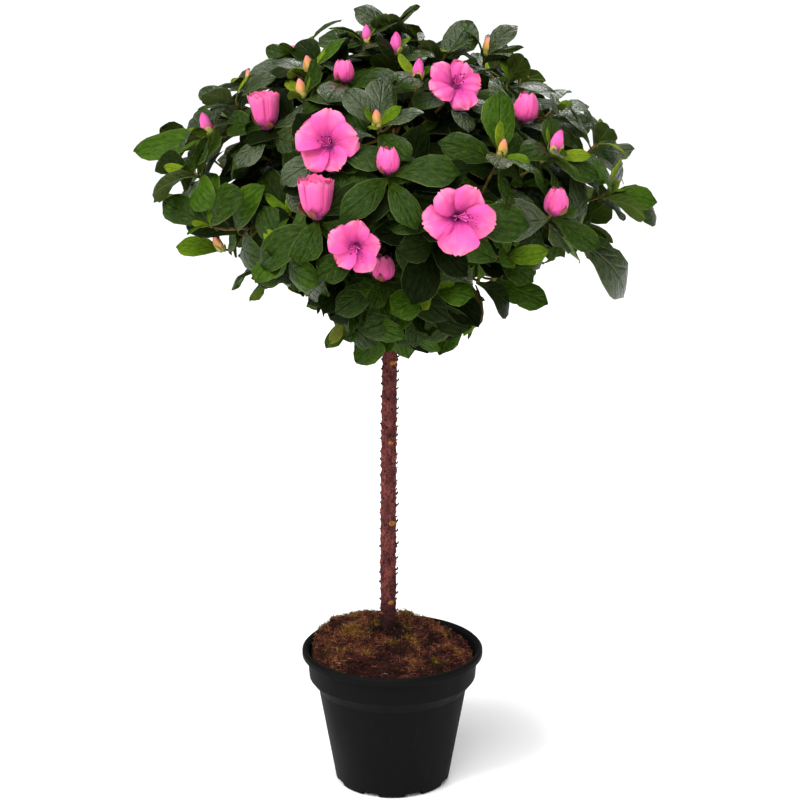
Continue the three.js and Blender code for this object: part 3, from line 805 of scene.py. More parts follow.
class Finish:
    """A procedural material: nodes that feed one Principled shader."""

    def __init__(self, name, sockets):
        self.material = bpy.data.materials.new(name)
        self.material.use_nodes = True
        self.tree = self.material.node_tree
        self.shader = self.tree.nodes["Principled BSDF"]
        self.set(sockets)

    def feed(self, socket, value):
        if isinstance(value, Amount):
            self.tree.links.new(value.socket, socket)
        else:
            socket.default_value = value

    def set(self, sockets):
        for name, value in sockets.items():
            self.feed(self.shader.inputs[name], value)

    def node(self, kind, settings, sockets, output=0):
        """A node of a kind, with its settings made first, then its sockets fed."""
        node = self.tree.nodes.new("ShaderNode" + kind)
        for name, value in settings.items():
            if name == "stops":
                while len(node.color_ramp.elements) < len(value):
                    node.color_ramp.elements.new(1)
                for element, (place, colour) in zip(node.color_ramp.elements, value):
                    element.position, element.color = place, colour
            else:
                setattr(node, name, value)
        for name, value in sockets.items():
            self.feed(node.inputs[name], value)
        return Amount(self, node.outputs[output])

    def math(self, operation, *values):
        return self.node("Math", {"operation": operation}, dict(enumerate(values)))

    def blend(self, factor, one, other):
        return self.node("Mix", {"data_type": "RGBA"}, {0: factor, 6: one, 7: other}, 2)

    def shades(self, factor, stops):
        stops = [(place, paint(*colour)) for place, colour in stops]
        return self.node("ValToRGB", {"stops": stops}, {"Fac": factor})

    def step(self, value, low, high):
        return self.node(
            "MapRange", {"interpolation_type": "SMOOTHSTEP"},
            {"Value": value, "From Min": low, "From Max": high},
        )

    def object_place(self, scale=(1, 1, 1)):
        place = self.node("TexCoord", {}, {}, "Object")
        return self.node("Mapping", {}, {"Vector": place, "Scale": scale})

    def map_place(self, scale=(1, 1, 1)):
        place = self.node("UVMap", {"uv_map": "OFBake"}, {})
        return self.node("Mapping", {}, {"Vector": place, "Scale": scale})

    def split(self, place):
        parts = self.node("SeparateXYZ", {}, {"Vector": place}).socket.node.outputs
        return [Amount(self, part) for part in parts]

    def noise(self, place, scale, detail=3, roughness=0.55):
        sockets = {"Vector": place, "Scale": scale, "Detail": detail, "Roughness": roughness}
        return self.node("TexNoise", {}, sockets)

    def cells(self, place, scale):
        return self.node("TexVoronoi", {}, {"Vector": place, "Scale": scale})

    def relief(self, height, strength, distance):
        sockets = {"Height": height, "Strength": strength, "Distance": distance}
        self.set({"Normal": self.node("Bump", {}, sockets)})


def blade_places(finish):
    """For a sheet: how far along, how far out from its midline, and 1 on the underside."""
    along, side, _ = finish.split(finish.map_place())
    out = abs((side * 2) % 1 - 0.5) / 0.46
    return along, out, finish.step(side, 0.495, 0.505)


def leaf_finish(name, colours, rough, gloss):
    blade, shade, rib, under = [paint(*colour) for colour in colours]
    finish = Finish(f"{name} leaf", {"Specular IOR Level": gloss})
    along, out, back = blade_places(finish)
    midrib = 1 - finish.step(out, 0.0, 0.09)
    bands = finish.step(abs((along * 5.5 - out * 1.9) % 1 - 0.5), 0.25, 0.5)
    veins = bands * finish.step(out, 0.05, 0.25) * (1 - finish.step(out, 0.55, 0.9))
    mottle = finish.noise(finish.map_place((5, 12, 1)), 1.8, 5, 0.62)
    grain = finish.noise(finish.map_place((18, 38, 1)), 1.5, 3, 0.6)
    cloud = finish.step(mottle, 0.36, 0.64)
    upper = finish.blend(cloud, shade, blade)
    upper = finish.blend(veins * 0.16, upper, shade)
    # painted shade: the midrib is darkened along its groove on the upper side
    upper = finish.blend(midrib * finish.step(along, 0.2, 0.5) * 0.5, upper, shade)
    upper = finish.blend((1 - finish.step(along, 0.02, 0.3)) * (0.3 + midrib * 0.5), upper, rib)
    # a thin pale margin: partly the leaf's own pale edge, partly a painted highlight along it
    rim = finish.blend(0.3, rib, paint(178, 190, 128))
    upper = finish.blend(finish.step(out, 0.95, 1.0) * 0.4, upper, rim)
    lower = finish.blend(midrib * 0.7, under, rib)
    lower = finish.blend(veins * 0.25, lower, rib)
    finish.set({
        "Base Color": finish.blend(back, upper, lower),
        "Roughness": rough + mottle * 0.16 + back * 0.3,
    })
    height = mottle * 0.8 + grain * 0.8 - midrib * 0.9 - veins * 0.5
    finish.relief(height * (1 - back * 2), 0.9, 0.0011)
    return finish


def petal_finish(name, stops, deep, spotted=False, furled=False):
    """Shades from a petal's foot to its tip, streaked lengthways, and darkened as painted shade at its
    edges and along an open lobe's crease.
    """
    deep = paint(*deep)
    finish = Finish(name, {"Sheen Weight": 0.15, "Sheen Roughness": 0.4, "Specular IOR Level": 0.2})
    along, out, back = blade_places(finish)
    streaks = finish.noise(finish.map_place((1.2, 26, 1)), 1.5, 3)
    clouds = finish.noise(finish.map_place((2.4, 6, 1)), 1.4, 2)
    colour = finish.shades(along + (streaks - 0.5) * 0.16 + (clouds - 0.5) * 0.5, stops)
    colour = finish.blend(finish.step(streaks, 0.55, 0.75) * 0.25, colour, deep)
    if furled:
        # painted shade where the furled petals' edges overlap
        colour = finish.blend(finish.step(out, 0.8, 1.0) * 0.6, colour, deep)
    else:
        # painted shade along the open lobe's crease and at its edges, where the lobes overlap
        colour = finish.blend((1 - finish.step(out, 0, 0.16)) * 0.2, colour, deep)
        colour = finish.blend(finish.step(out, 0.82, 1.0) * 0.3, colour, deep)
    if spotted:
        dots = 1 - finish.step(finish.cells(finish.map_place((16, 34, 1)), 1), 0.2, 0.34)
        zone = finish.step(along, 0.3, 0.4) * (1 - finish.step(along, 0.62, 0.74))
        zone = zone * (1 - finish.step(out, 0.4, 0.6)) * (1 - back)
        colour = finish.blend(zone * 0.35, colour, deep)
        colour = finish.blend(dots * zone, colour, paint(120, 10, 80))
    finish.set({"Base Color": colour, "Roughness": 0.5 + streaks * 0.2})
    finish.relief(streaks - (1 - finish.step(out, 0, 0.1)) * 0.4, 0.6, 0.0008)
    return finish


def bud_finish(name, stops):
    """Shades that change from a bud's foot to its tip."""
    finish = Finish(name, {"Sheen Weight": 0.15})
    along, _, _ = finish.split(finish.map_place())
    grain = finish.noise(finish.map_place((2, 12, 1)), 2, 3)
    finish.set({
        "Base Color": finish.shades(along + (grain - 0.5) * 0.25, stops),
        "Roughness": 0.4 + grain * 0.25,
    })
    finish.relief(grain, 0.4, 0.0004)
    return finish


def plastic_finish():
    finish = Finish("nursery pot plastic", {"Specular IOR Level": 0.06})
    grain = finish.noise(finish.object_place(), 1400, 2)
    cloud = finish.noise(finish.object_place((1, 1, 0.35)), 28, 4)
    scuffs = finish.step(finish.noise(finish.object_place((1, 1, 0.12)), 160, 3, 0.7), 0.6, 0.78)
    dust = finish.step(cloud, 0.35, 0.75)
    colour = finish.blend(dust * 0.6, paint(9, 9, 9), paint(15, 15, 15))
    finish.set({
        "Base Color": finish.blend(scuffs * 0.14, colour, paint(38, 38, 39)),
        "Roughness": 0.58 + dust * 0.16 - scuffs * 0.08,
    })
    finish.relief(grain * 0.5 + cloud * 0.8, 0.3, 0.0004)
    return finish


def peat_finish():
    finish = Finish("peat", {"Specular IOR Level": 0.08})
    lumps = finish.noise(finish.object_place(), 90, 6, 0.7)
    patches = finish.noise(finish.object_place(), 26, 4)
    colour = finish.shades(lumps, [
        (0.3, (14, 6, 5)), (0.48, (38, 17, 14)), (0.6, (66, 33, 26)), (0.76, (104, 62, 46)),
    ])
    colour = finish.blend(finish.step(patches, 0.5, 0.7) * 0.5, colour, paint(70, 50, 22))
    # painted shade: the peat is darkened round the stem's foot
    across, back, _ = finish.split(finish.object_place((1 / MM,) * 3))
    across, back = across - TRUNK_FOOT[0], back - TRUNK_FOOT[1]
    near = 1 - finish.step(across * across + back * back, 140, 640)
    colour = finish.blend(near * 0.85, colour, paint(20, 12, 6))
    finish.set({"Base Color": colour, "Roughness": 0.86 + lumps * 0.12})
    finish.relief(lumps, 0.9, 0.003)
    return finish


def grain_finish(name, colours, scale, rough=0.85, stretch=1):
    """Three mottled shades with a matching relief, for small things."""
    finish = Finish(name, {"Specular IOR Level": 0.12})
    grain = finish.noise(finish.object_place((1, 1, stretch)), scale, 4, 0.6)
    finish.set({
        "Base Color": finish.shades(grain, zip((0.3, 0.5, 0.72), colours)),
        "Roughness": rough - grain * 0.12,
    })
    finish.relief(grain, 0.6, 0.0006)
    return finish


def bark_finish(name, colours):
    """Thin reddish bark, mottled and cracked, and darkened towards its foot as painted shade."""
    dark = paint(*colours[0])
    finish = Finish(name, {"Specular IOR Level": 0.14})
    grain = finish.noise(finish.object_place((1, 1, 0.7)), 640, 4, 0.66)
    patches = finish.noise(finish.object_place((1, 1, 0.6)), 150, 4)
    cracks = finish.step(finish.noise(finish.object_place((1, 1, 0.45)), 560, 3, 0.7), 0.54, 0.66)
    colour = finish.shades(grain * 0.5 + patches * 0.5, zip((0.38, 0.48, 0.57, 0.7), colours))
    colour = finish.blend(cracks * 0.6, colour, dark)
    height = finish.split(finish.object_place())[2]
    # painted shade: the bark darkens from 0.2 m down to the peat, most just above it
    colour = finish.blend((1 - finish.step(height, 0.15, 0.2)) * 0.7, colour, dark)
    colour = finish.blend((1 - finish.step(height, 0.146, 0.17)) * 0.75, colour, paint(26, 14, 12))
    finish.set({"Base Color": colour, "Roughness": 0.74 + grain * 0.2 - cracks * 0.1})
    finish.relief(grain - cracks * 0.7 + patches * 0.5, 0.9, 0.0014)
    return finish


# ---------------------------------------------------------------- the pot and the peat

CRUMB_TONES = {
    "dark": [(18, 8, 5), (36, 17, 11), (58, 30, 20)],
    "red": [(54, 22, 15), (90, 42, 28), (130, 74, 50)],
}
FIBRE_TONES = {
    "brown": [(16, 7, 6), (36, 17, 15), (66, 36, 31)],
    "russet": [(70, 32, 28), (106, 54, 44), (150, 92, 72)],
    "tan": [(112, 64, 44), (162, 100, 68), (214, 154, 110)],
    "gold": [(76, 46, 14), (120, 76, 28), (166, 116, 52)],
}
FIBRE_SHARES = {"brown": 0.52, "russet": 0.76, "tan": 0.92}
MOSS_TONES = {
    "green": [(38, 38, 6), (70, 66, 13), (110, 102, 30)],
    "gold": [(84, 54, 14), (132, 90, 32), (184, 136, 64)],
}


def pot_profile():
    lip_z = POT_HEIGHT - LIP_HEIGHT
    collar_z = lip_z - COLLAR_HEIGHT
    waist_z = collar_z - SHOULDER_HEIGHT
    floor_z = NOTCH_HEIGHT + 2 * POT_WALL
    outside = [
        (0, 0), (POT_FOOT_R - 2, 0), (POT_FOOT_R, 2), (POT_WAIST_R, waist_z),
        (POT_COLLAR_R - POT_DRAFT, collar_z), (POT_COLLAR_R, lip_z), (POT_RIM_R, lip_z + 1),
        (POT_RIM_R, POT_HEIGHT - 2), (POT_RIM_R - 2, POT_HEIGHT), (POT_RIM_R - 3.4, POT_HEIGHT),
    ]
    inside = [
        (POT_COLLAR_R - POT_WALL, POT_HEIGHT - 3), (POT_COLLAR_R - POT_DRAFT - POT_WALL, collar_z),
        (POT_WAIST_R - POT_WALL, waist_z), (POT_FOOT_R - NOTCH_DEPTH - POT_WALL, floor_z),
        (0, floor_z),
    ]
    return outside + inside


def spun(profile, steps):
    """A profile of radius and height in millimetres, turned once about +Z and closed."""
    bm = bmesh.new()
    verts = [bm.verts.new((radius * MM, 0, height * MM)) for radius, height in profile]
    edges = [bm.edges.new(pair) for pair in zip(verts, verts[1:])]
    bmesh.ops.spin(
        bm, geom=verts + edges, cent=(0, 0, 0), axis=(0, 0, 1), dvec=(0, 0, 0),
        angle=2 * pi, steps=steps, use_merge=True, use_duplicate=False,
    )
    bmesh.ops.remove_doubles(bm, verts=bm.verts, dist=1e-6)
    bmesh.ops.recalc_face_normals(bm, faces=bm.faces)
    return bm


def pot_cutters():
    """The notches round the foot and the drain holes, as one mesh to cut away."""
    bm = bmesh.new()
    for i in range(FOOT_NOTCHES):
        box = bmesh.ops.create_cube(bm, size=1)["verts"]
        size = Vector((NOTCH_DEPTH * 2, NOTCH_WIDTH, NOTCH_HEIGHT * 2)) * MM
        bmesh.ops.scale(bm, vec=size, verts=box)
        sides = list({edge for vert in box for edge in vert.link_edges})
        made = bmesh.ops.bevel(
            bm, geom=sides, offset=NOTCH_ROUNDING * MM, segments=3, profile=0.5, affect="EDGES",
            material=-1,
        )
        box = list(set(made["verts"]) | {vert for vert in box if vert.is_valid})
        bmesh.ops.translate(bm, vec=(POT_FOOT_R * MM, 0, 0), verts=box)
        turn = Matrix.Rotation((i + 0.5) * 2 * pi / FOOT_NOTCHES, 3, "Z")
        bmesh.ops.rotate(bm, cent=(0, 0, 0), matrix=turn, verts=box)
    for i in range(DRAIN_HOLES):
        turn = i * 2 * pi / DRAIN_HOLES
        place = Vector((cos(turn), sin(turn), 0)) * DRAIN_RING_R * MM
        bmesh.ops.create_cone(
            bm, cap_ends=True, segments=DRAIN_HOLE_SIDES, radius1=DRAIN_HOLE_R * MM,
            radius2=DRAIN_HOLE_R * MM, depth=40 * MM, matrix=Matrix.Translation(place),
        )
    return to_mesh(bm, "cutters")


def cut_away(mesh, cutter):
    """The mesh with the cutter's solids taken out of it."""
    wall, tool = put_in_scene("wall", mesh), put_in_scene("tool", cutter)
    cut = wall.modifiers.new("cut", "BOOLEAN")
    cut.operation, cut.solver, cut.object = "DIFFERENCE", "EXACT", tool
    graph = bpy.context.evaluated_depsgraph_get()
    result = bpy.data.meshes.new_from_object(wall.evaluated_get(graph))
    for thing in (wall, tool):
        bpy.data.objects.remove(thing)
    return result


def rounded_ring(edge):
    """Whether an edge goes level round the pot, away from its middle, at a clear bend."""
    one, other = [vert.co for vert in edge.verts]
    level = abs(one.z - other.z) < 1e-6 and abs(one.xy.length - other.xy.length) < 1e-5
    bend = edge.calc_face_angle(0) if len(edge.link_faces) == 2 else 0
    return level and one.xy.length > DRAIN_RING_R * MM and bend > radians(BLUNT_ANGLE)


def pot():
    bm = spun(pot_profile(), POT_STEPS)
    bmesh.ops.bevel(
        bm, geom=[edge for edge in bm.edges if rounded_ring(edge)], offset=POT_ROUNDING * MM,
        segments=3, profile=0.5, affect="EDGES", material=-1, clamp_overlap=True,
    )
    mesh = cut_away(to_mesh(bm, "pot_wall"), pot_cutters())
    mesh.name = "nursery_pot"
    mesh.materials.clear()
    mesh.set_sharp_from_angle(angle=radians(SHARP_ANGLE))
    make_piece(mesh, plastic_finish(), "pot", "pot")


def from_stem(x, y):
    return hypot(x - TRUNK_FOOT[0], y - TRUNK_FOOT[1])


def soil_height(x, y):
    out = min(1, hypot(x, y) / SOIL_EDGE_R)
    tilt = SOIL_TILT * (y - x) / (SOIL_EDGE_R * sqrt(2))
    lump = SOIL_LUMP * sin(x / 13 + 1) * cos(y / 11)
    return SOIL_EDGE_Z + tilt + (SOIL_MOUND + lump) * (1 - out * out)


def peat_top(x, y):
    """The peat's top, rougher than the solid's, banked up at the back left and at the stem's foot."""
    place = Vector((x, y, 3.0))
    rough = sum(noise.noise(place / size) * height for size, height in SOIL_LUMPS)
    near = 1 - ease(10, 20, from_stem(x, y))
    rim = ease(SOIL_EDGE_R, SOIL_EDGE_R - 3, hypot(x, y))
    bank = SOIL_BANK * ease(5, 58, 0.85 * y - 0.55 * x) * rim + SOIL_COLLAR * near
    return soil_height(x, y) + bank + rough * SOIL_ROUGH * (0.4 + 0.6 * rim) - 2 * (1 - rim)


def peat_body():
    """The whole root ball, down to the pot's floor."""
    floor_z = NOTCH_HEIGHT + 2 * POT_WALL + CLEAR
    collar_z = POT_HEIGHT - LIP_HEIGHT - COLLAR_HEIGHT
    top = SOIL_EDGE_Z + SOIL_MOUND + SOIL_TILT
    profile = [
        (0, floor_z), (POT_FOOT_R - NOTCH_DEPTH - POT_WALL - 2 * CLEAR, floor_z),
        (POT_WAIST_R - POT_WALL - 2 * CLEAR, collar_z - SHOULDER_HEIGHT),
        (SOIL_EDGE_R, collar_z + 2 * CLEAR), (SOIL_EDGE_R, SOIL_EDGE_Z - SOIL_TILT - 4),
    ]
    profile += [(SOIL_EDGE_R * i / SOIL_RINGS, top) for i in range(SOIL_RINGS, -1, -1)]
    bm = spun(profile, SOIL_STEPS)
    for vert in bm.verts:
        if vert.co.z > (top - 0.1) * MM:
            vert.co.z = peat_top(vert.co.x / MM, vert.co.y / MM) * MM
    make_piece(to_mesh(bm, "peat"), peat_finish(), "peat", "root_ball")


def crumb_shape(seed):
    bm = bmesh.new()
    bmesh.ops.create_icosphere(bm, subdivisions=1, radius=1)
    for vert in bm.verts:
        vert.co *= 1 + 0.45 * noise.noise(vert.co * 1.7 + Vector((seed * 7.3, 0, 0)))
    return Shape(bm)


def fibre_shape(bend, kink):
    """A fibre of unit length along +X."""
    bm = bmesh.new()
    steps = np.linspace(0, 1, 4)
    points = [(s, bend * sin(pi * s), kink * sin(2.2 * pi * s)) for s in steps]
    grow_tube(bm, np.array(points) / MM, [0.018 / MM] * 4, 3)
    return Shape(bm)


def random_frame(draws, flat):
    """Three square directions, the first of them nearly level when flat is near 1."""
    way = draws.normal(size=3)
    way[2] *= 1 - flat
    way = unit(way)
    y = square_to(way, draws.uniform(0, 2 * pi))
    return way, y, np.cross(way, y)


def place_on_peat(draws):
    while True:
        x, y = draws.uniform(-SOIL_EDGE_R, SOIL_EDGE_R, 2)
        if hypot(x, y) < SOIL_EDGE_R - 2 and from_stem(x, y) > TRUNK_FOOT_R + 1:
            return np.array([x, y, peat_top(x, y)])


def make_heaps(heaps, tones, piece_name, finish_name, scale):
    """A piece from each heap of copies, in the colours of its tone."""
    for tone, copies in heaps.items():
        finish = grain_finish(f"{tone} {finish_name}", tones[tone], scale)
        make_piece(joined(f"{piece_name}_{tone}", copies), finish, "peat")


def crumbs():
    draws = np.random.default_rng(CRUMB_DRAWS)
    shapes = [crumb_shape(seed) for seed in range(5)]
    heaps = {tone: [] for tone in CRUMB_TONES}
    for _ in range(CRUMBS):
        x, y, z = random_frame(draws, 0.4)
        size = 0.4 + draws.gamma(2.0, 0.22)
        root = place_on_peat(draws) + UP * size * 0.25
        tone = "dark" if draws.random() < 0.6 else "red"
        shape = shapes[draws.integers(len(shapes))]
        heaps[tone].append((shape, placing(root, x * size * 1.5, y * size, z * size * 0.8)))
    make_heaps(heaps, CRUMB_TONES, "peat_crumbs", "peat crumb", 500)


def fibres():
    draws = np.random.default_rng(FIBRE_DRAWS)
    bends = ((0.1, 0.03), (0.2, 0.05), (0.3, -0.04), (-0.15, 0.08))
    shapes = [fibre_shape(bend, kink) for bend, kink in bends]
    heaps = {tone: [] for tone in FIBRE_TONES}
    for _ in range(FIBRES):
        x, y, z = random_frame(draws, 0.62)
        length = draws.uniform(*FIBRE_LENGTH)
        thick = draws.uniform(*FIBRE_WIDTH)
        root = place_on_peat(draws) - x * length / 2 + UP * draws.uniform(0.2, 1.4)
        if np.hypot(*(root + x * length)[:2]) > SOIL_EDGE_R or np.hypot(*root[:2]) > SOIL_EDGE_R:
            continue
        # fibres near the stem are dealt darker tones, painted shade round its foot
        near = ease(30, 12, from_stem(*root[:2]))
        patch = noise.noise(Vector(root / FIBRE_PATCH)) + ease(-30, 30, root[1] - root[0]) * 0.3
        lot = 0.75 * draws.random() + 0.85 * patch - 0.5 * near
        tone = dealt(lot, FIBRE_SHARES, "gold")
        shape = shapes[draws.integers(len(shapes))]
        heaps[tone].append((shape, placing(root, x * length, y * thick, z * thick)))
    make_heaps(heaps, FIBRE_TONES, "peat_fibres", "peat fibre", 260)


def moss_blade(bend):
    bm = bmesh.new()
    points = [(bend * s * s, 0, s) for s in np.linspace(0, 1, 4)]
    grow_tube(bm, np.array(points) / MM, np.array([0.10, 0.12, 0.08, 0.02]) / MM, 3)
    return Shape(bm)


def moss():
    draws = np.random.default_rng(MOSS_DRAWS)
    shapes = [moss_blade(bend) for bend in (0.1, 0.3, 0.5)]
    heaps = {tone: [] for tone in MOSS_TONES}
    reaches = np.array([radius for _, _, radius in MOSS_PATCHES], float) ** 2
    for _ in range(MOSS_BLADES):
        across, back, radius = MOSS_PATCHES[draws.choice(len(MOSS_PATCHES), p=reaches / reaches.sum())]
        x, y = np.array([across, back]) + draws.normal(size=2) * radius * 0.5
        if hypot(x, y) > SOIL_EDGE_R - 2 or from_stem(x, y) < TRUNK_FOOT_R + 2:
            continue
        axis = unit(UP + draws.normal(size=3) * 0.55)
        size = draws.uniform(*MOSS_LENGTH)
        root = np.array([x, y, peat_top(x, y) - 0.3])
        tone = "green" if draws.random() < 0.55 else "gold"
        matrix = facing(root, axis, size, draws.uniform(0, 2 * pi))
        heaps[tone].append((shapes[draws.integers(3)], matrix))
    make_heaps(heaps, MOSS_TONES, "moss", "moss", 300)


# ---------------------------------------------------------------- the stem and its limbs

GROWTHS = {  # how far each kind stands out, and its width and height
    "stub": (1.4, 2.0, 2.0), "hook": (2.1, 4.4, 2.6), "knob": (3.2, 1.9, 2), "ochre": (4.8, 2.8, 2.4),
}
GROWTH_LOOKS = {  # piece, colours and the size of their grain
    "stub": ("bark_stubs", [(17, 8, 8), (34, 16, 15), (66, 34, 30)], 600),
    "knob": ("bark_knobs", [(96, 42, 34), (130, 60, 44), (166, 96, 60)], 420),
    "ochre": ("bark_ochre_knobs", [(98, 58, 26), (144, 94, 36), (184, 134, 60)], 420),
}
STEM_BARK = [(50, 23, 26), (90, 43, 42), (118, 60, 56), (150, 86, 68)]
BOUGH_BARK = [(30, 16, 14), (58, 34, 28), (86, 54, 42), (124, 86, 66)]
TWIG_BARK = [(62, 44, 22), (104, 82, 40), (134, 120, 62)]


def trunk_radius(height):
    rise = max(0, height - TRUNK_FOOT[2])
    flare = max(0, 1 - rise / FLARE_HEIGHT) ** 2 * (FLARE_R - TRUNK_FOOT_R) * BARK_FLARE
    share = rise / (TRUNK_TIP[2] - TRUNK_FOOT[2])
    return between([TRUNK_FOOT_R, TRUNK_TIP_R], share**TRUNK_TAPER) + flare


def leaf_scars():
    """Where old leaves left the stem: the place, the way out, the kind of growth and its size."""
    scars = []
    bottom = TRUNK_FOOT[2] + FLARE_HEIGHT / 2
    for run in range(int((SCAR_TOP - bottom) / SCAR_RUN)):
        for i, (rise, degrees, kind) in enumerate(SCARS):
            if kind == "ochre" and run % OCHRE_RUNS:
                continue
            roll = dice(SCAR_DRAWS + run * len(SCARS) + i)
            height = bottom + run * SCAR_RUN + rise + (roll() - 0.5) * 3
            outwards = direction_of(0, radians(degrees + (roll() - 0.5) * 24))
            scars.append(SimpleNamespace(
                spot=trunk_at(height) + outwards * trunk_radius(height), outwards=outwards, kind=kind,
                size=0.75 + 0.5 * roll(),
            ))
    return scars


def swell(mesh, scars, rise, reach):
    """Raises the bark round each scar."""
    corners = np.array([vert.co[:] for vert in mesh.vertices]) / MM
    lift = np.zeros(len(corners))
    for scar in scars:
        offset = corners - scar.spot
        offset[:, 2] *= 0.75
        lift += rise * scar.size * np.exp(-(offset**2).sum(1) / (2 * reach**2))
    for vert, normal, height in zip(mesh.vertices, [v.normal.copy() for v in mesh.vertices], lift):
        vert.co += normal * float(height) * MM


def trunk(scars, finish):
    heights = np.linspace(TRUNK_FOOT[2] - TRUNK_SUNK, TRUNK_TIP[2], TRUNK_RINGS)
    points = [trunk_at(height) for height in heights]
    radii = [trunk_radius(height) for height in heights]
    mesh = limbs("trunk_bark", [(points, radii)], TRUNK_SIDES)
    roughen(mesh, 4.5, 0.6, 1.6)
    roughen(mesh, 1.9, 0.8, 1.2)
    swell(mesh, scars, 0.8, 1.3)
    make_piece(mesh, finish, "bark", "trunk")


def stub_shape(points, radii):
    """A hard little leaf stalk, of unit length."""
    bm = bmesh.new()
    grow_tube(bm, np.array(points) / MM, np.array(radii) / MM, 7)
    return Shape(bm)


def knob_shape():
    bm = bmesh.new()
    bmesh.ops.create_icosphere(bm, subdivisions=2, radius=1)
    for vert in bm.verts:
        vert.co *= 1 + 0.45 * noise.noise(vert.co * 1.6)
        vert.co.x *= 0.42
    return Shape(bm)


def scar_growths(scars):
    """Dark stubs, curled dark hooks, orange knobs and a few ochre ones."""
    shapes = {
        "stub": stub_shape(
            [(-0.3, 0, 0), (0.35, 0, -0.02), (0.75, 0, 0.12), (1, 0, 0.4)], [0.55, 0.48, 0.4, 0.2]
        ),
        "hook": stub_shape(
            [(-0.3, 0, 0.3), (0.3, 0, 0.1), (0.7, 0, 0.2), (0.9, 0, 0.55), (0.7, 0, 0.85)],
            [0.4, 0.32, 0.26, 0.28, 0.18],
        ),
        "knob": knob_shape(),
    }
    shapes["ochre"] = shapes["knob"]
    heaps = {kind: [] for kind in GROWTH_LOOKS}
    for scar in scars:
        up = unit(UP + scar.outwards * 0.15)
        out, wide, tall = np.array(GROWTHS[scar.kind]) * scar.size
        side = np.cross(up, scar.outwards)
        matrix = placing(scar.spot, scar.outwards * out, side * wide, up * tall)
        heaps["stub" if scar.kind == "hook" else scar.kind].append((shapes[scar.kind], matrix))
    for kind, (name, colours, grain) in GROWTH_LOOKS.items():
        make_piece(joined(name, heaps[kind]), grain_finish(f"{kind} bark", colours, grain), "bark")


def boughs(masses, finish):
    runs = []
    for mass in masses:
        foot = TRUNK_TIP_R if mass.bough_z == TRUNK_TIP[2] else BOUGH_FOOT_R
        radii = np.linspace(foot, BOUGH_TIP_R, BOUGH_STEPS)
        runs.append((bough_bow(mass).points(BOUGH_STEPS), radii))
    mesh = limbs("boughs", runs, BOUGH_SIDES)
    roughen(mesh, 3.5, 0.5, 1.5)
    roughen(mesh, 1.4, 0.22)
    make_piece(mesh, finish, "bark", *[f"bough_{mass.name}" for mass in masses])
    radii = np.linspace(BOUGH_TIP_R, STEM_TIP_R, STEM_STEPS)
    runs = [(stem_bow(mass).points(STEM_STEPS), radii) for mass in masses]
    mesh = limbs("mass_stems", runs, STEM_SIDES)
    roughen(mesh, 3, 0.4, 1.5)
    make_piece(mesh, finish, "bark")


def twigs(name, shoots, finish, thickness):
    radii = np.interp(np.linspace(0, 1, TWIG_STEPS), [0, 0.7, 1], np.array(TWIG_RADII) * thickness)
    runs = [(shoot.twig.points(TWIG_STEPS), radii) for shoot in shoots]
    mesh = limbs(name, runs, TWIG_SIDES)
    roughen(mesh, 2.2, 0.25)
    make_piece(mesh, finish, "foliage")


# ---------------------------------------------------------------- leaves

LEAF_OUTLINE = [  # how far along, and the half width there as a share of the widest
    (0, 0.05), (0.14, 0.24), (0.35, 0.7), (0.57, 1), (0.76, 0.97), (0.89, 0.76), (0.965, 0.5), (1, 0.2),
]
LEAF_FORMS = [  # arch, fold, curl of the tip, twist
    (0.10, 0.16, 0.10, 0.1), (0.07, 0.30, 0.05, -0.2), (0.13, 0.10, 0.20, 0.25), (0.04, 0.22, 0.02, 0.35),
    (0.11, 0.26, 0.16, -0.35), (0.08, 0.05, 0.10, 0.0), (0.15, 0.18, 0.26, -0.1), (0.02, 0.34, -0.06, 0.15),
]
LEAF_TONES = {  # blade, its darker clouds, midrib and underside, then roughness and gloss
    # the inner tone's near-black blade is painted shade, for leaves deep inside the crown
    "inner": ([(18, 29, 5), (10, 17, 2), (48, 62, 18), (40, 52, 16)], 0.5, 0.03),
    "deep": ([(28, 42, 6), (16, 27, 3), (82, 98, 36), (58, 74, 24)], 0.36, 0.04),
    "glossy": ([(50, 66, 20), (29, 45, 8), (128, 142, 74), (74, 90, 34)], 0.12, 0.5),
    "mid": ([(44, 66, 9), (26, 44, 4), (108, 130, 48), (72, 92, 30)], 0.18, 0.1),
    "vivid": ([(60, 88, 9), (38, 64, 4), (118, 140, 46), (90, 114, 34)], 0.24, 0.09),
    "fresh": ([(94, 120, 24), (68, 98, 12), (152, 170, 62), (122, 142, 50)], 0.4, 0.03),
    "young": ([(124, 142, 34), (94, 118, 20), (174, 180, 80), (150, 160, 68)], 0.42, 0.03),
    "bronze": ([(84, 56, 20), (50, 48, 12), (136, 94, 48), (114, 92, 46)], 0.42, 0.03),
}
TONE_SHARES = {  # where leaves grow or how old they are, and up to what lot each tone is dealt out
    "young": {"young": 0.3, "fresh": 0.7, "vivid": 1},
    # leaves on inner and fill shoots are dealt mostly the inner tone: painted shade deep in the crown
    "inside": {"inner": 0.55, "deep": 0.85, "mid": 0.95, "vivid": 1},
    "old": {"deep": 0.5, "mid": 0.985},
    "high": {"glossy": 0.55, "mid": 0.85, "vivid": 0.93, "deep": 0.985},
    "level": {"mid": 0.5, "glossy": 0.7, "vivid": 0.85, "deep": 0.985},
    "low": {"vivid": 0.5, "mid": 0.85, "fresh": 0.92, "deep": 0.985},
}
HIGH_FROM = 0.3  # the sines of the elevations at which the tones change
LOW_FROM = -0.15
YOUNG_WIDTH = 0.66


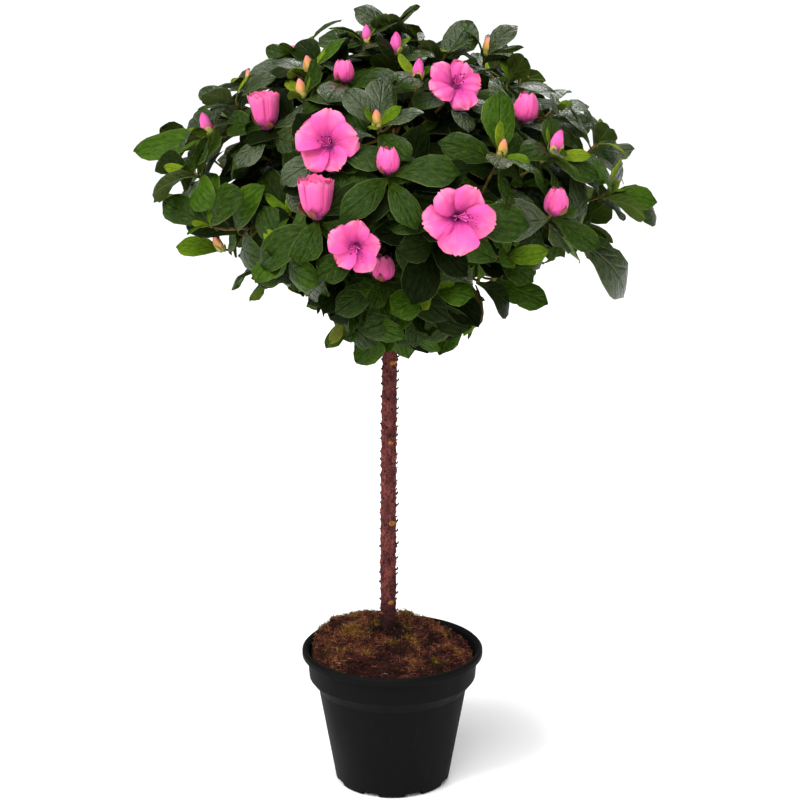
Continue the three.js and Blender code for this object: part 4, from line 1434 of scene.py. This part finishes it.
def leaf_shape(arch, fold, curl, twist):
    """A leaf of unit length along +X with its upper side up +Z."""
    shares, widths = zip(*LEAF_OUTLINE)

    def surface(along, across):
        half = np.interp(along, shares, widths) * LEAF_WIDTH_SHARE / 2
        y = across * half
        x = along - 0.06 * across * across * ease(0.75, 1, along)
        z = arch * 4 * along * (1 - along) - curl * max(0, along - 0.45) ** 2 * 2
        z += fold * (abs(y) * 2.6 - y * y * 6.6 / LEAF_WIDTH_SHARE)
        z += 0.012 * sin(along * 9 + across * 1.5) * abs(across)
        turn = twist * (along - 0.3)
        return x, y * cos(turn), z + y * sin(turn)

    return Shape(sheet(surface, shares, 4, 0.016))


def leaf_tone(leaf, draws):
    height = leaf.shoot.direction[2]
    if leaf.age == "young":
        kind = "young"
    elif leaf.shoot.rank != "outer":
        # leaves off the outer shoots take the inside tones, darkened as painted shade
        kind = "inside"
    elif leaf.age == "old":
        kind = "old"
    else:
        kind = "high" if height > HIGH_FROM else "level" if height > LOW_FROM else "low"
    return dealt(draws.random(), TONE_SHARES[kind], "bronze")


def furthest_leaves(shoots):
    """The leaves whose tips reach furthest, each on a shoot that is about a leaf's length away."""
    found = []
    for across, back, height, length in FURTHEST_TIPS:
        tip = np.array([across, back, height])
        near = [shoot for shoot in shoots if (tip - shoot.tip) @ unit(tip - CROWN) > 0.3 * length]
        shoot = min(near, key=lambda shoot: abs(norm(tip - shoot.tip) - length))
        root = shoot.tip - shoot.axis * WHORL_BELOW_BLOOM
        way = tip - root
        length = norm(way)
        found.append(SimpleNamespace(
            shoot=shoot, root=root, along=way / length, length=length, age="furthest"
        ))
    return found


def leaves(shoots, masses):
    shapes = [leaf_shape(*form) for form in LEAF_FORMS]
    heaps = {tone: [] for tone in LEAF_TONES}
    rooms = [room_of(shoot) for shoot in shoots if shoot.bloom != "none"]
    furthest = furthest_leaves([shoot for shoot in shoots if shoot.rank == "outer"])
    for shoot in shoots:
        draws = np.random.default_rng(shoot.seed + TONE_DRAWS)
        near = [room for room in rooms if norm(room.tip - shoot.tip) < NEAR_BLOOM]
        further = [leaf for leaf in furthest if leaf.shoot is shoot]
        for leaf in leaves_of(shoot, near) + further:
            facing_out = shoot.axis + shoot.direction * LEAF_LOOKS_OUT
            if leaf.age == "furthest":
                facing_out = FURTHEST_LOOK
            y = unit(np.cross(facing_out, leaf.along))
            z = np.cross(leaf.along, y)
            roll = draws.normal() * LEAF_ROLL * (0.4 if leaf.age == "furthest" else 1)
            y, z = y * cos(roll) + z * sin(roll), z * cos(roll) - y * sin(roll)
            wide = leaf.length * draws.uniform(0.84, 1.14) * (YOUNG_WIDTH if leaf.age == "young" else 1)
            matrix = placing(leaf.root, leaf.along * leaf.length, y * wide, z * leaf.length)
            heaps[leaf_tone(leaf, draws)].append((shapes[draws.integers(len(shapes))], matrix))
    for tone, copies in heaps.items():
        nodes = [f"foliage_{mass.name}" for mass in masses] if tone == "deep" else []
        make_piece(
            joined(f"leaves_{tone}", copies), leaf_finish(tone, *LEAF_TONES[tone]), "foliage", *nodes
        )


# ---------------------------------------------------------------- blooms

PETAL_STATIONS = [0, 0.12, 0.24, 0.34, 0.42, 0.5, 0.58, 0.66, 0.74, 0.82, 0.88, 0.93, 0.97, 1]
FURLED_STATIONS = [0, 0.05, 0.12, 0.24, 0.42, 0.6, 0.76, 0.88, 0.95, 1]
FURLED_LAYERS = [  # petals, radius and height of each layer, from outside in
    (5, 1.0, 0.99), (5, 0.82, 0.98), (4, 0.6, 0.95), (3, 0.36, 0.91),
]
PETAL_DEEP = (176, 44, 134)
# the darkest stops at the petals' foot are painted shade deep in the throat
PETAL_STOPS = [
    (0.1, (98, 16, 74)), (0.26, (164, 42, 128)), (0.5, (214, 72, 154)), (0.72, (235, 92, 156)),
    (1, (244, 128, 166)),
]
FURLED_DEEP = (160, 34, 106)
FURLED_STOPS = [
    (0, (104, 22, 80)), (0.13, (172, 44, 120)), (0.3, (234, 84, 156)), (0.8, (238, 92, 160)),
    (1, (244, 116, 172)),
]
STAMEN_TONES = [(200, 60, 140), (230, 100, 180), (245, 150, 205)]
ANTHER_TONES = [(66, 12, 48), (94, 24, 70), (130, 46, 98)]
BUD_KINDS = {
    "pink": [(0, (206, 80, 120)), (0.35, (238, 96, 172)), (0.75, (240, 88, 176)), (1, (206, 40, 128))],
    "orange": [(0, (170, 176, 66)), (0.3, (230, 186, 104)), (0.7, (232, 150, 96)), (1, (224, 96, 130))],
    "yellow": [(0, (126, 146, 50)), (0.4, (206, 170, 76)), (0.8, (222, 136, 84)), (1, (212, 92, 124))],
}
BROWN_SCALE = [(0, (104, 96, 36)), (0.3, (128, 58, 34)), (0.7, (124, 40, 30)), (1, (84, 24, 22))]
GREEN_SCALE = [(0, (104, 128, 40)), (0.4, (158, 168, 62)), (0.8, (190, 168, 84)), (1, (176, 96, 56))]


def petal_shape(seed):
    """A lobe of an open flower, out along +X, with the flower's axis +Z and unit radius 1."""
    roll = dice(seed)
    phase, wave, lean = roll() * 6, 0.08 + 0.06 * roll(), (roll() - 0.5) * 0.16
    broad, bend, roll_in = 0.48 + 0.08 * roll(), (roll() - 0.5) * 0.5, 0.3 * roll() - 0.12
    stations = [0, 0.2, 0.42, 0.6, 0.82, 1]
    radii = [0.05, 0.12, 0.26, 0.5, 0.84, 1.05]
    rises = [0, 0.3, 0.58, 0.8, 0.9 + 0.1 * bend, 0.78 + 0.4 * bend]

    def surface(along, across):
        radius, rise = np.interp(along, stations, radii), np.interp(along, stations, rises)
        round_off = max(0, (along - 0.7) / 0.31)
        half = np.interp(along, [0, 0.3, 0.46, 0.58, 0.7], [0.05, 0.2, 0.32, 0.44, broad])
        half *= sqrt(max(0, 1 - min(1, round_off) ** 2.4))
        y = across * half * (1 + 0.06 * sin(along * 23 + phase) * ease(0.6, 0.75, along))
        spread = ease(0.22, 0.48, along)
        angle = across * radians(38)
        x = between([radius * cos(angle), radius - 0.05 * across * across], spread)
        x += ease(0.8, 1, along) * 0.03 * sin(across * 8 + phase * 3)
        y = between([radius * sin(angle), y], spread)
        ruffle = wave * spread * (
            sin(across * 3.6 + along * 4 + phase) * abs(across) * 1.3
            + sin(across * 8 + phase * 2) * ease(0.6, 1, along) * 0.6
        )
        crease = -0.07 * spread * exp(-((across / 0.26) ** 2)) * (1 - 0.6 * along)
        curl = (roll_in * across * across + 0.11 * across) * spread
        return x, y + lean * along * along, rise + ruffle + crease + curl

    return Shape(sheet(surface, PETAL_STATIONS, 12, 0.02))


def furled_petal_shape(seed, mouth):
    """A petal wrapped round a half-open bloom, up along +Z, its widest radius and height both 1.

    The wider the mouth, the flatter its top is cut.
    """
    roll = dice(seed)
    phase, wave, notch = roll() * 6, 0.03 + 0.04 * roll(), roll() * 1.4 - 0.7
    point = ease(0.9, 0.6, mouth)
    stations = [0, 0.06, 0.16, 0.3, 0.55, 0.82, 1]
    wide = [0.3, 0.48, 0.68, 0.82, 0.92, between([0.92, mouth], 0.65), mouth]
    drawn = [0.3, 0.6, 0.84, 0.98, 0.98, between([1, mouth], 0.5), mouth]
    belly = between(np.array([wide, drawn]), point)

    def surface(along, across):
        rim = ease(0.78, 1, along)
        angle = across * radians(52) + 0.5 * point * along * along
        radius = np.interp(along, stations, belly) * (0.96 + 0.09 * across)
        radius += 0.1 * (cos(across * pi / 2) - 0.55) * ease(0.05, 0.3, along)
        radius += wave * ease(0.3, 1, along) * sin(across * 5 + phase + along * 2)
        groove = exp(-(((across - notch * 0.5 - 0.2 * along) / 0.13) ** 2))
        radius -= 0.09 * ease(0.08, 0.35, along) * groove
        dip = 0.07 * exp(-(((across - notch) / 0.16) ** 2)) + 0.03 * across * across
        rise = along - rim * (dip + 0.035 * sin(across * 11 + phase)) * (1 - 0.5 * point)
        rise -= 0.3 * point * across * across * ease(0.4, 1, along)
        return radius * cos(angle), radius * sin(angle), rise

    return Shape(sheet(surface, FURLED_STATIONS, 10, 0.03))


def scale_shape(seed, mouth, wide, foot):
    """A pointed scale at a bloom's foot, up along +Z, its widest radius and height both 1."""
    roll = dice(seed)
    phase, wave = roll() * 6, 0.03 + 0.03 * roll()
    shift = 0.05 * (roll() - 0.5)
    belly = [foot, 0.6, 0.88, 1, (1 + mouth) / 2, mouth]

    def surface(along, across):
        reach = np.interp(along, [0, 0.2, 0.55, 0.82, 0.94, 1], [0.75, 1, 1, 0.55, 0.235, 0.075])
        angle = across * radians(52) * reach * wide
        ruffle = wave * ease(0.55, 1, along) * sin(across * 6 + phase)
        radius = np.interp(along, [0, 0.1, 0.3, 0.6, 0.85, 1], belly)
        radius = radius * (1 + shift + 0.07 * across) + ruffle
        radius -= 0.08 * exp(-((across / 0.2) ** 2)) * ease(0.05, 0.4, along)
        rise = along - 0.05 * across * across * along + ruffle * 0.8
        return radius * cos(angle), radius * sin(angle), rise

    return Shape(sheet(surface, list(np.linspace(0, 1, 10)), 6, 0.03))


def bud_shape(twist):
    """A pointed bud of furled petals, its widest radius and its height both 1."""
    bm = bmesh.new()
    bmesh.ops.create_uvsphere(bm, u_segments=18, v_segments=12, radius=1)
    layer = bm.loops.layers.uv.new("OFBake")
    for face in bm.faces:
        middle = face.calc_center_median()
        centre = atan2(middle.y, middle.x)
        for loop in face.loops:
            x, y, z = loop.vert.co
            turn = atan2(y, x) if hypot(x, y) > 1e-4 else centre
            turn += 2 * pi * round((centre - turn) / (2 * pi))
            loop[layer].uv = ((z + 1) / 2, (turn + pi * 1.2) / (2.4 * pi))
    for vert in bm.verts:
        share = (vert.co.z + 1) / 2
        turn = atan2(vert.co.y, vert.co.x)
        out = np.interp(share, [0, 0.12, 0.42, 0.75, 0.93, 1], [0.4, 0.72, 1, 0.72, 0.34, 0.04])
        out *= 1 + 0.14 * sin(3 * turn + twist * share)
        vert.co = Vector((cos(turn) * out, sin(turn) * out, share))
    return Shape(bm)


def flower_parts(shoot, lobes, spotted):
    """Lobes, one of them spotted, round a throat."""
    axis = bloom_axis(shoot)
    root = shoot.tip - axis * BLOOM_SUNK
    roll = dice(shoot.seed + LOBE_DRAWS)
    first = (roll() - 0.5) * 3.2 - 1.2
    for i in range(PETALS):
        turn = i * 2 * pi / PETALS + first + (roll() - 0.5) * 0.14
        scale = FLOWER_R * shoot.size * (0.88 + 0.2 * roll())
        lifted = unit(axis + square_to(axis, turn) * (roll() - 0.5) * 0.16)
        tall = scale * FLOWER_DEPTH / (FLOWER_R * 0.84)
        matrix = facing(root - axis * 0.7 * (i % 2), lifted, scale, turn, tall)
        (spotted if i == 0 else lobes).append((petal_shape(shoot.seed * 5 + i), matrix))
    # a cone closes the throat; its map lies in the petals' darkest foot shades, painted shade
    foot = facing(root - axis * 2, axis, 5.2 * shoot.size, 0, FLOWER_DEPTH * 0.4)
    lobes.append((blunt_core_shape(), foot))


def stamen_runs(shoot):
    """Thin stalks that curve out of the throat, each with its tip's place."""
    axis = bloom_axis(shoot)
    side, other = around(axis)
    roll = dice(shoot.seed + STAMEN_DRAWS)
    runs = []
    for i in range(STAMENS):
        turn = i * GOLDEN + roll()
        lean = side * cos(turn) + other * sin(turn) * 0.8 - other * 0.5
        length = (24 if i else 30) * shoot.size * (0.85 + 0.2 * roll())
        start = shoot.tip + axis * 1
        middle = start + axis * length * 0.6 + lean * 0.8
        end = start + axis * length * 0.94 + lean * (4.5 + 2 * roll()) * shoot.size + other * 3
        runs.append(Bow(start, middle, end))
    return runs


def open_flowers(shoots):
    lobes, spotted, stalks, anthers = [], [], [], []
    bead = crumb_shape(3)
    for shoot in shoots:
        flower_parts(shoot, lobes, spotted)
        for bow in stamen_runs(shoot):
            stalks.append((bow.points(7), [0.34] * 7))
            anthers.append((bead, facing(bow.end, bow.way(1), 0.85)))
    finish = petal_finish("azalea petal", PETAL_STOPS, PETAL_DEEP)
    make_piece(joined("flower_lobes", lobes), finish, "foliage")
    finish = petal_finish("spotted azalea petal", PETAL_STOPS, PETAL_DEEP, spotted=True)
    make_piece(joined("flower_upper_lobes", spotted), finish, "foliage")
    finish = grain_finish("stamen", STAMEN_TONES, 300, 0.5)
    make_piece(limbs("stamens", stalks, 5), finish, "foliage")
    finish = grain_finish("anther", ANTHER_TONES, 900, 0.7)
    make_piece(joined("anthers", anthers), finish, "foliage")


def blunt_core_shape():
    """What closes the middle of a furled bloom."""
    bm = bmesh.new()
    bmesh.ops.create_cone(bm, cap_ends=True, segments=16, radius1=0.4, radius2=1, depth=1)
    bmesh.ops.translate(bm, vec=(0, 0, 0.42), verts=bm.verts)
    layer = bm.loops.layers.uv.new("OFBake")
    for face in bm.faces:
        for loop in face.loops:
            x, y, z = loop.vert.co
            loop[layer].uv = (0.05 + 0.3 * z, 0.1 + 0.1 * (x + 1))
    return Shape(bm)


def half_open_flowers(shoots):
    """Barrels of furled petals, wide ones cut off flat and narrow ones drawn in at the mouth."""
    petals, scales = [], []
    for shoot in shoots:
        axis = bloom_axis(shoot)
        root = shoot.tip - axis * BLOOM_SUNK
        roll = dice(shoot.seed + FURLED_DRAWS)
        mouth = 1.02 + 0.14 * roll() if shoot.size > 1.1 else 0.46 + 0.2 * roll()
        start = roll() * 6
        radius, tall = HALF_FLOWER_R * shoot.size, HALF_FLOWER_HEIGHT * shoot.size
        for layer, (count, inset, rise) in enumerate(FURLED_LAYERS):
            for i in range(count):
                shape = furled_petal_shape(shoot.seed * 7 + layer * 11 + i, mouth)
                turn = start + layer * 1.1 + i * 2 * pi / count
                own_height = tall * rise * (0.92 + 0.1 * roll())
                petals.append((shape, facing(root, axis, radius * inset, turn, own_height)))
        core = facing(root, axis, radius * 0.7 * mouth, start, tall * 0.88)
        petals.append((blunt_core_shape(), core))
        for i in range(HALF_FLOWER_SCALES):
            shape = scale_shape(shoot.seed * 3 + i, 0.98, 0.34, 0.34)
            own_height = radius * (0.6 + 0.7 * roll())
            turn = start + i * GOLDEN
            scales.append((shape, facing(root - axis * 0.6, axis, radius * 0.98, turn, own_height)))
    finish = petal_finish("half-open petal", FURLED_STOPS, FURLED_DEEP, furled=True)
    make_piece(joined("half_open_petals", petals), finish, "foliage")
    finish = bud_finish("brown bud scale", BROWN_SCALE)
    make_piece(joined("half_open_scales", scales), finish, "foliage")


def buds(shoots):
    furled = {kind: [] for kind in BUD_KINDS}
    scales = []
    for shoot in shoots:
        axis = bloom_axis(shoot)
        roll = dice(shoot.seed + BUD_DRAWS)
        root = shoot.tip - axis * BLOOM_SUNK
        kind = list(BUD_KINDS)[min(2, int(roll() * 3.4))] if shoot.size < 1.25 else "pink"
        turn = roll() * 6
        radius = BUD_R * shoot.size
        matrix = facing(root, axis, radius, turn, BUD_HEIGHT * shoot.size)
        furled[kind].append((bud_shape(3 + 3 * roll()), matrix))
        for i in range(BUD_SCALES):
            shape = scale_shape(shoot.seed * 3 + i, 0.9, 0.75, 0.25)
            own_height = radius * 1.12 * (1.2 + 0.9 * roll())
            matrix = facing(root - axis, axis, radius * 1.12, turn + i * GOLDEN, own_height)
            scales.append((shape, matrix))
    for kind, stops in BUD_KINDS.items():
        if furled[kind]:
            finish = bud_finish(f"{kind} bud", stops)
            make_piece(joined(f"buds_{kind}", furled[kind]), finish, "foliage")
    make_piece(joined("bud_scales", scales), bud_finish("green bud scale", GREEN_SCALE), "foliage")


# ---------------------------------------------------------------- the whole plant and its setting

def crown():
    masses = all_masses()
    main = main_shoots()
    stems = {mass.name: stem_bow(mass) for mass in masses}
    for shoot in main:
        shoot.mass = owner_of(masses, shoot.tip)
        shoot.twig = twig_bow(stems[shoot.mass.name], shoot)
    fine = fill_shoots()
    for shoot in fine:
        shoot.mass = owner_of(masses, shoot.tip)
        neighbours = [other for other in main if other.mass is shoot.mass]
        shoot.twig = branched_twig(shoot, neighbours)
    boughs(masses, bark_finish("bough bark", BOUGH_BARK))
    green = grain_finish("twig bark", TWIG_BARK, 160, 0.7, 0.5)
    twigs("twigs", main, green, 1)
    twigs("fine_twigs", fine, green, 0.75)
    leaves(main + fine, masses)
    kinds = {kind: [shoot for shoot in main if shoot.bloom == kind] for kind in BLOOM_SHARES}
    open_flowers(kinds["open"])
    half_open_flowers(kinds["half"])
    buds(kinds["bud"])


def floor_and_light():
    bm = bmesh.new()
    bmesh.ops.create_grid(bm, x_segments=1, y_segments=1, size=40)
    floor = put_in_scene("floor", to_mesh(bm, "floor"))
    finish = Finish("pale floor", {"Base Color": (0.98, 0.98, 0.98, 1), "Roughness": 0.9})
    floor.data.materials.append(finish.material)
    world = bpy.data.worlds.new("studio")
    world.use_nodes = True
    world.node_tree.nodes["Background"].inputs["Color"].default_value = (1, 1, 1, 1)
    world.node_tree.nodes["Background"].inputs["Strength"].default_value = SKY_POWER
    bpy.context.scene.world = world
    for name, place, size, power in LAMPS:
        data = bpy.data.lights.new(name, "AREA")
        data.shape, data.size, data.energy = "DISK", size, power
        hang(name, data, place)
    data = bpy.data.lights.new("broad", "SUN")
    data.energy, data.angle = BROAD_POWER, radians(BROAD_SPREAD)
    hang("broad", data, BROAD_PLACE)


def hang(name, data, place):
    """Aims a lamp at the crown's middle."""
    lamp = put_in_scene(name, data)
    lamp.location = place
    aim = Vector(CROWN * MM) - Vector(place)
    lamp.rotation_euler = aim.to_track_quat("-Z", "Y").to_euler()
    lamp.visible_camera = False


def camera():
    data = bpy.data.cameras.new("camera")
    data.lens, data.sensor_width = CAMERA_LENS, SENSOR
    eye = put_in_scene("camera", data)
    eye.location = CAMERA_PLACE
    eye.rotation_euler = (radians(CAMERA_TILT), 0, 0)
    bpy.context.scene.camera = eye
    bpy.context.scene.view_settings.view_transform = "Standard"


camera()
pot()
peat_body()
crumbs()
fibres()
moss()
scars = leaf_scars()
trunk(scars, bark_finish("stem bark", STEM_BARK))
scar_growths(scars)
crown()
floor_and_light()
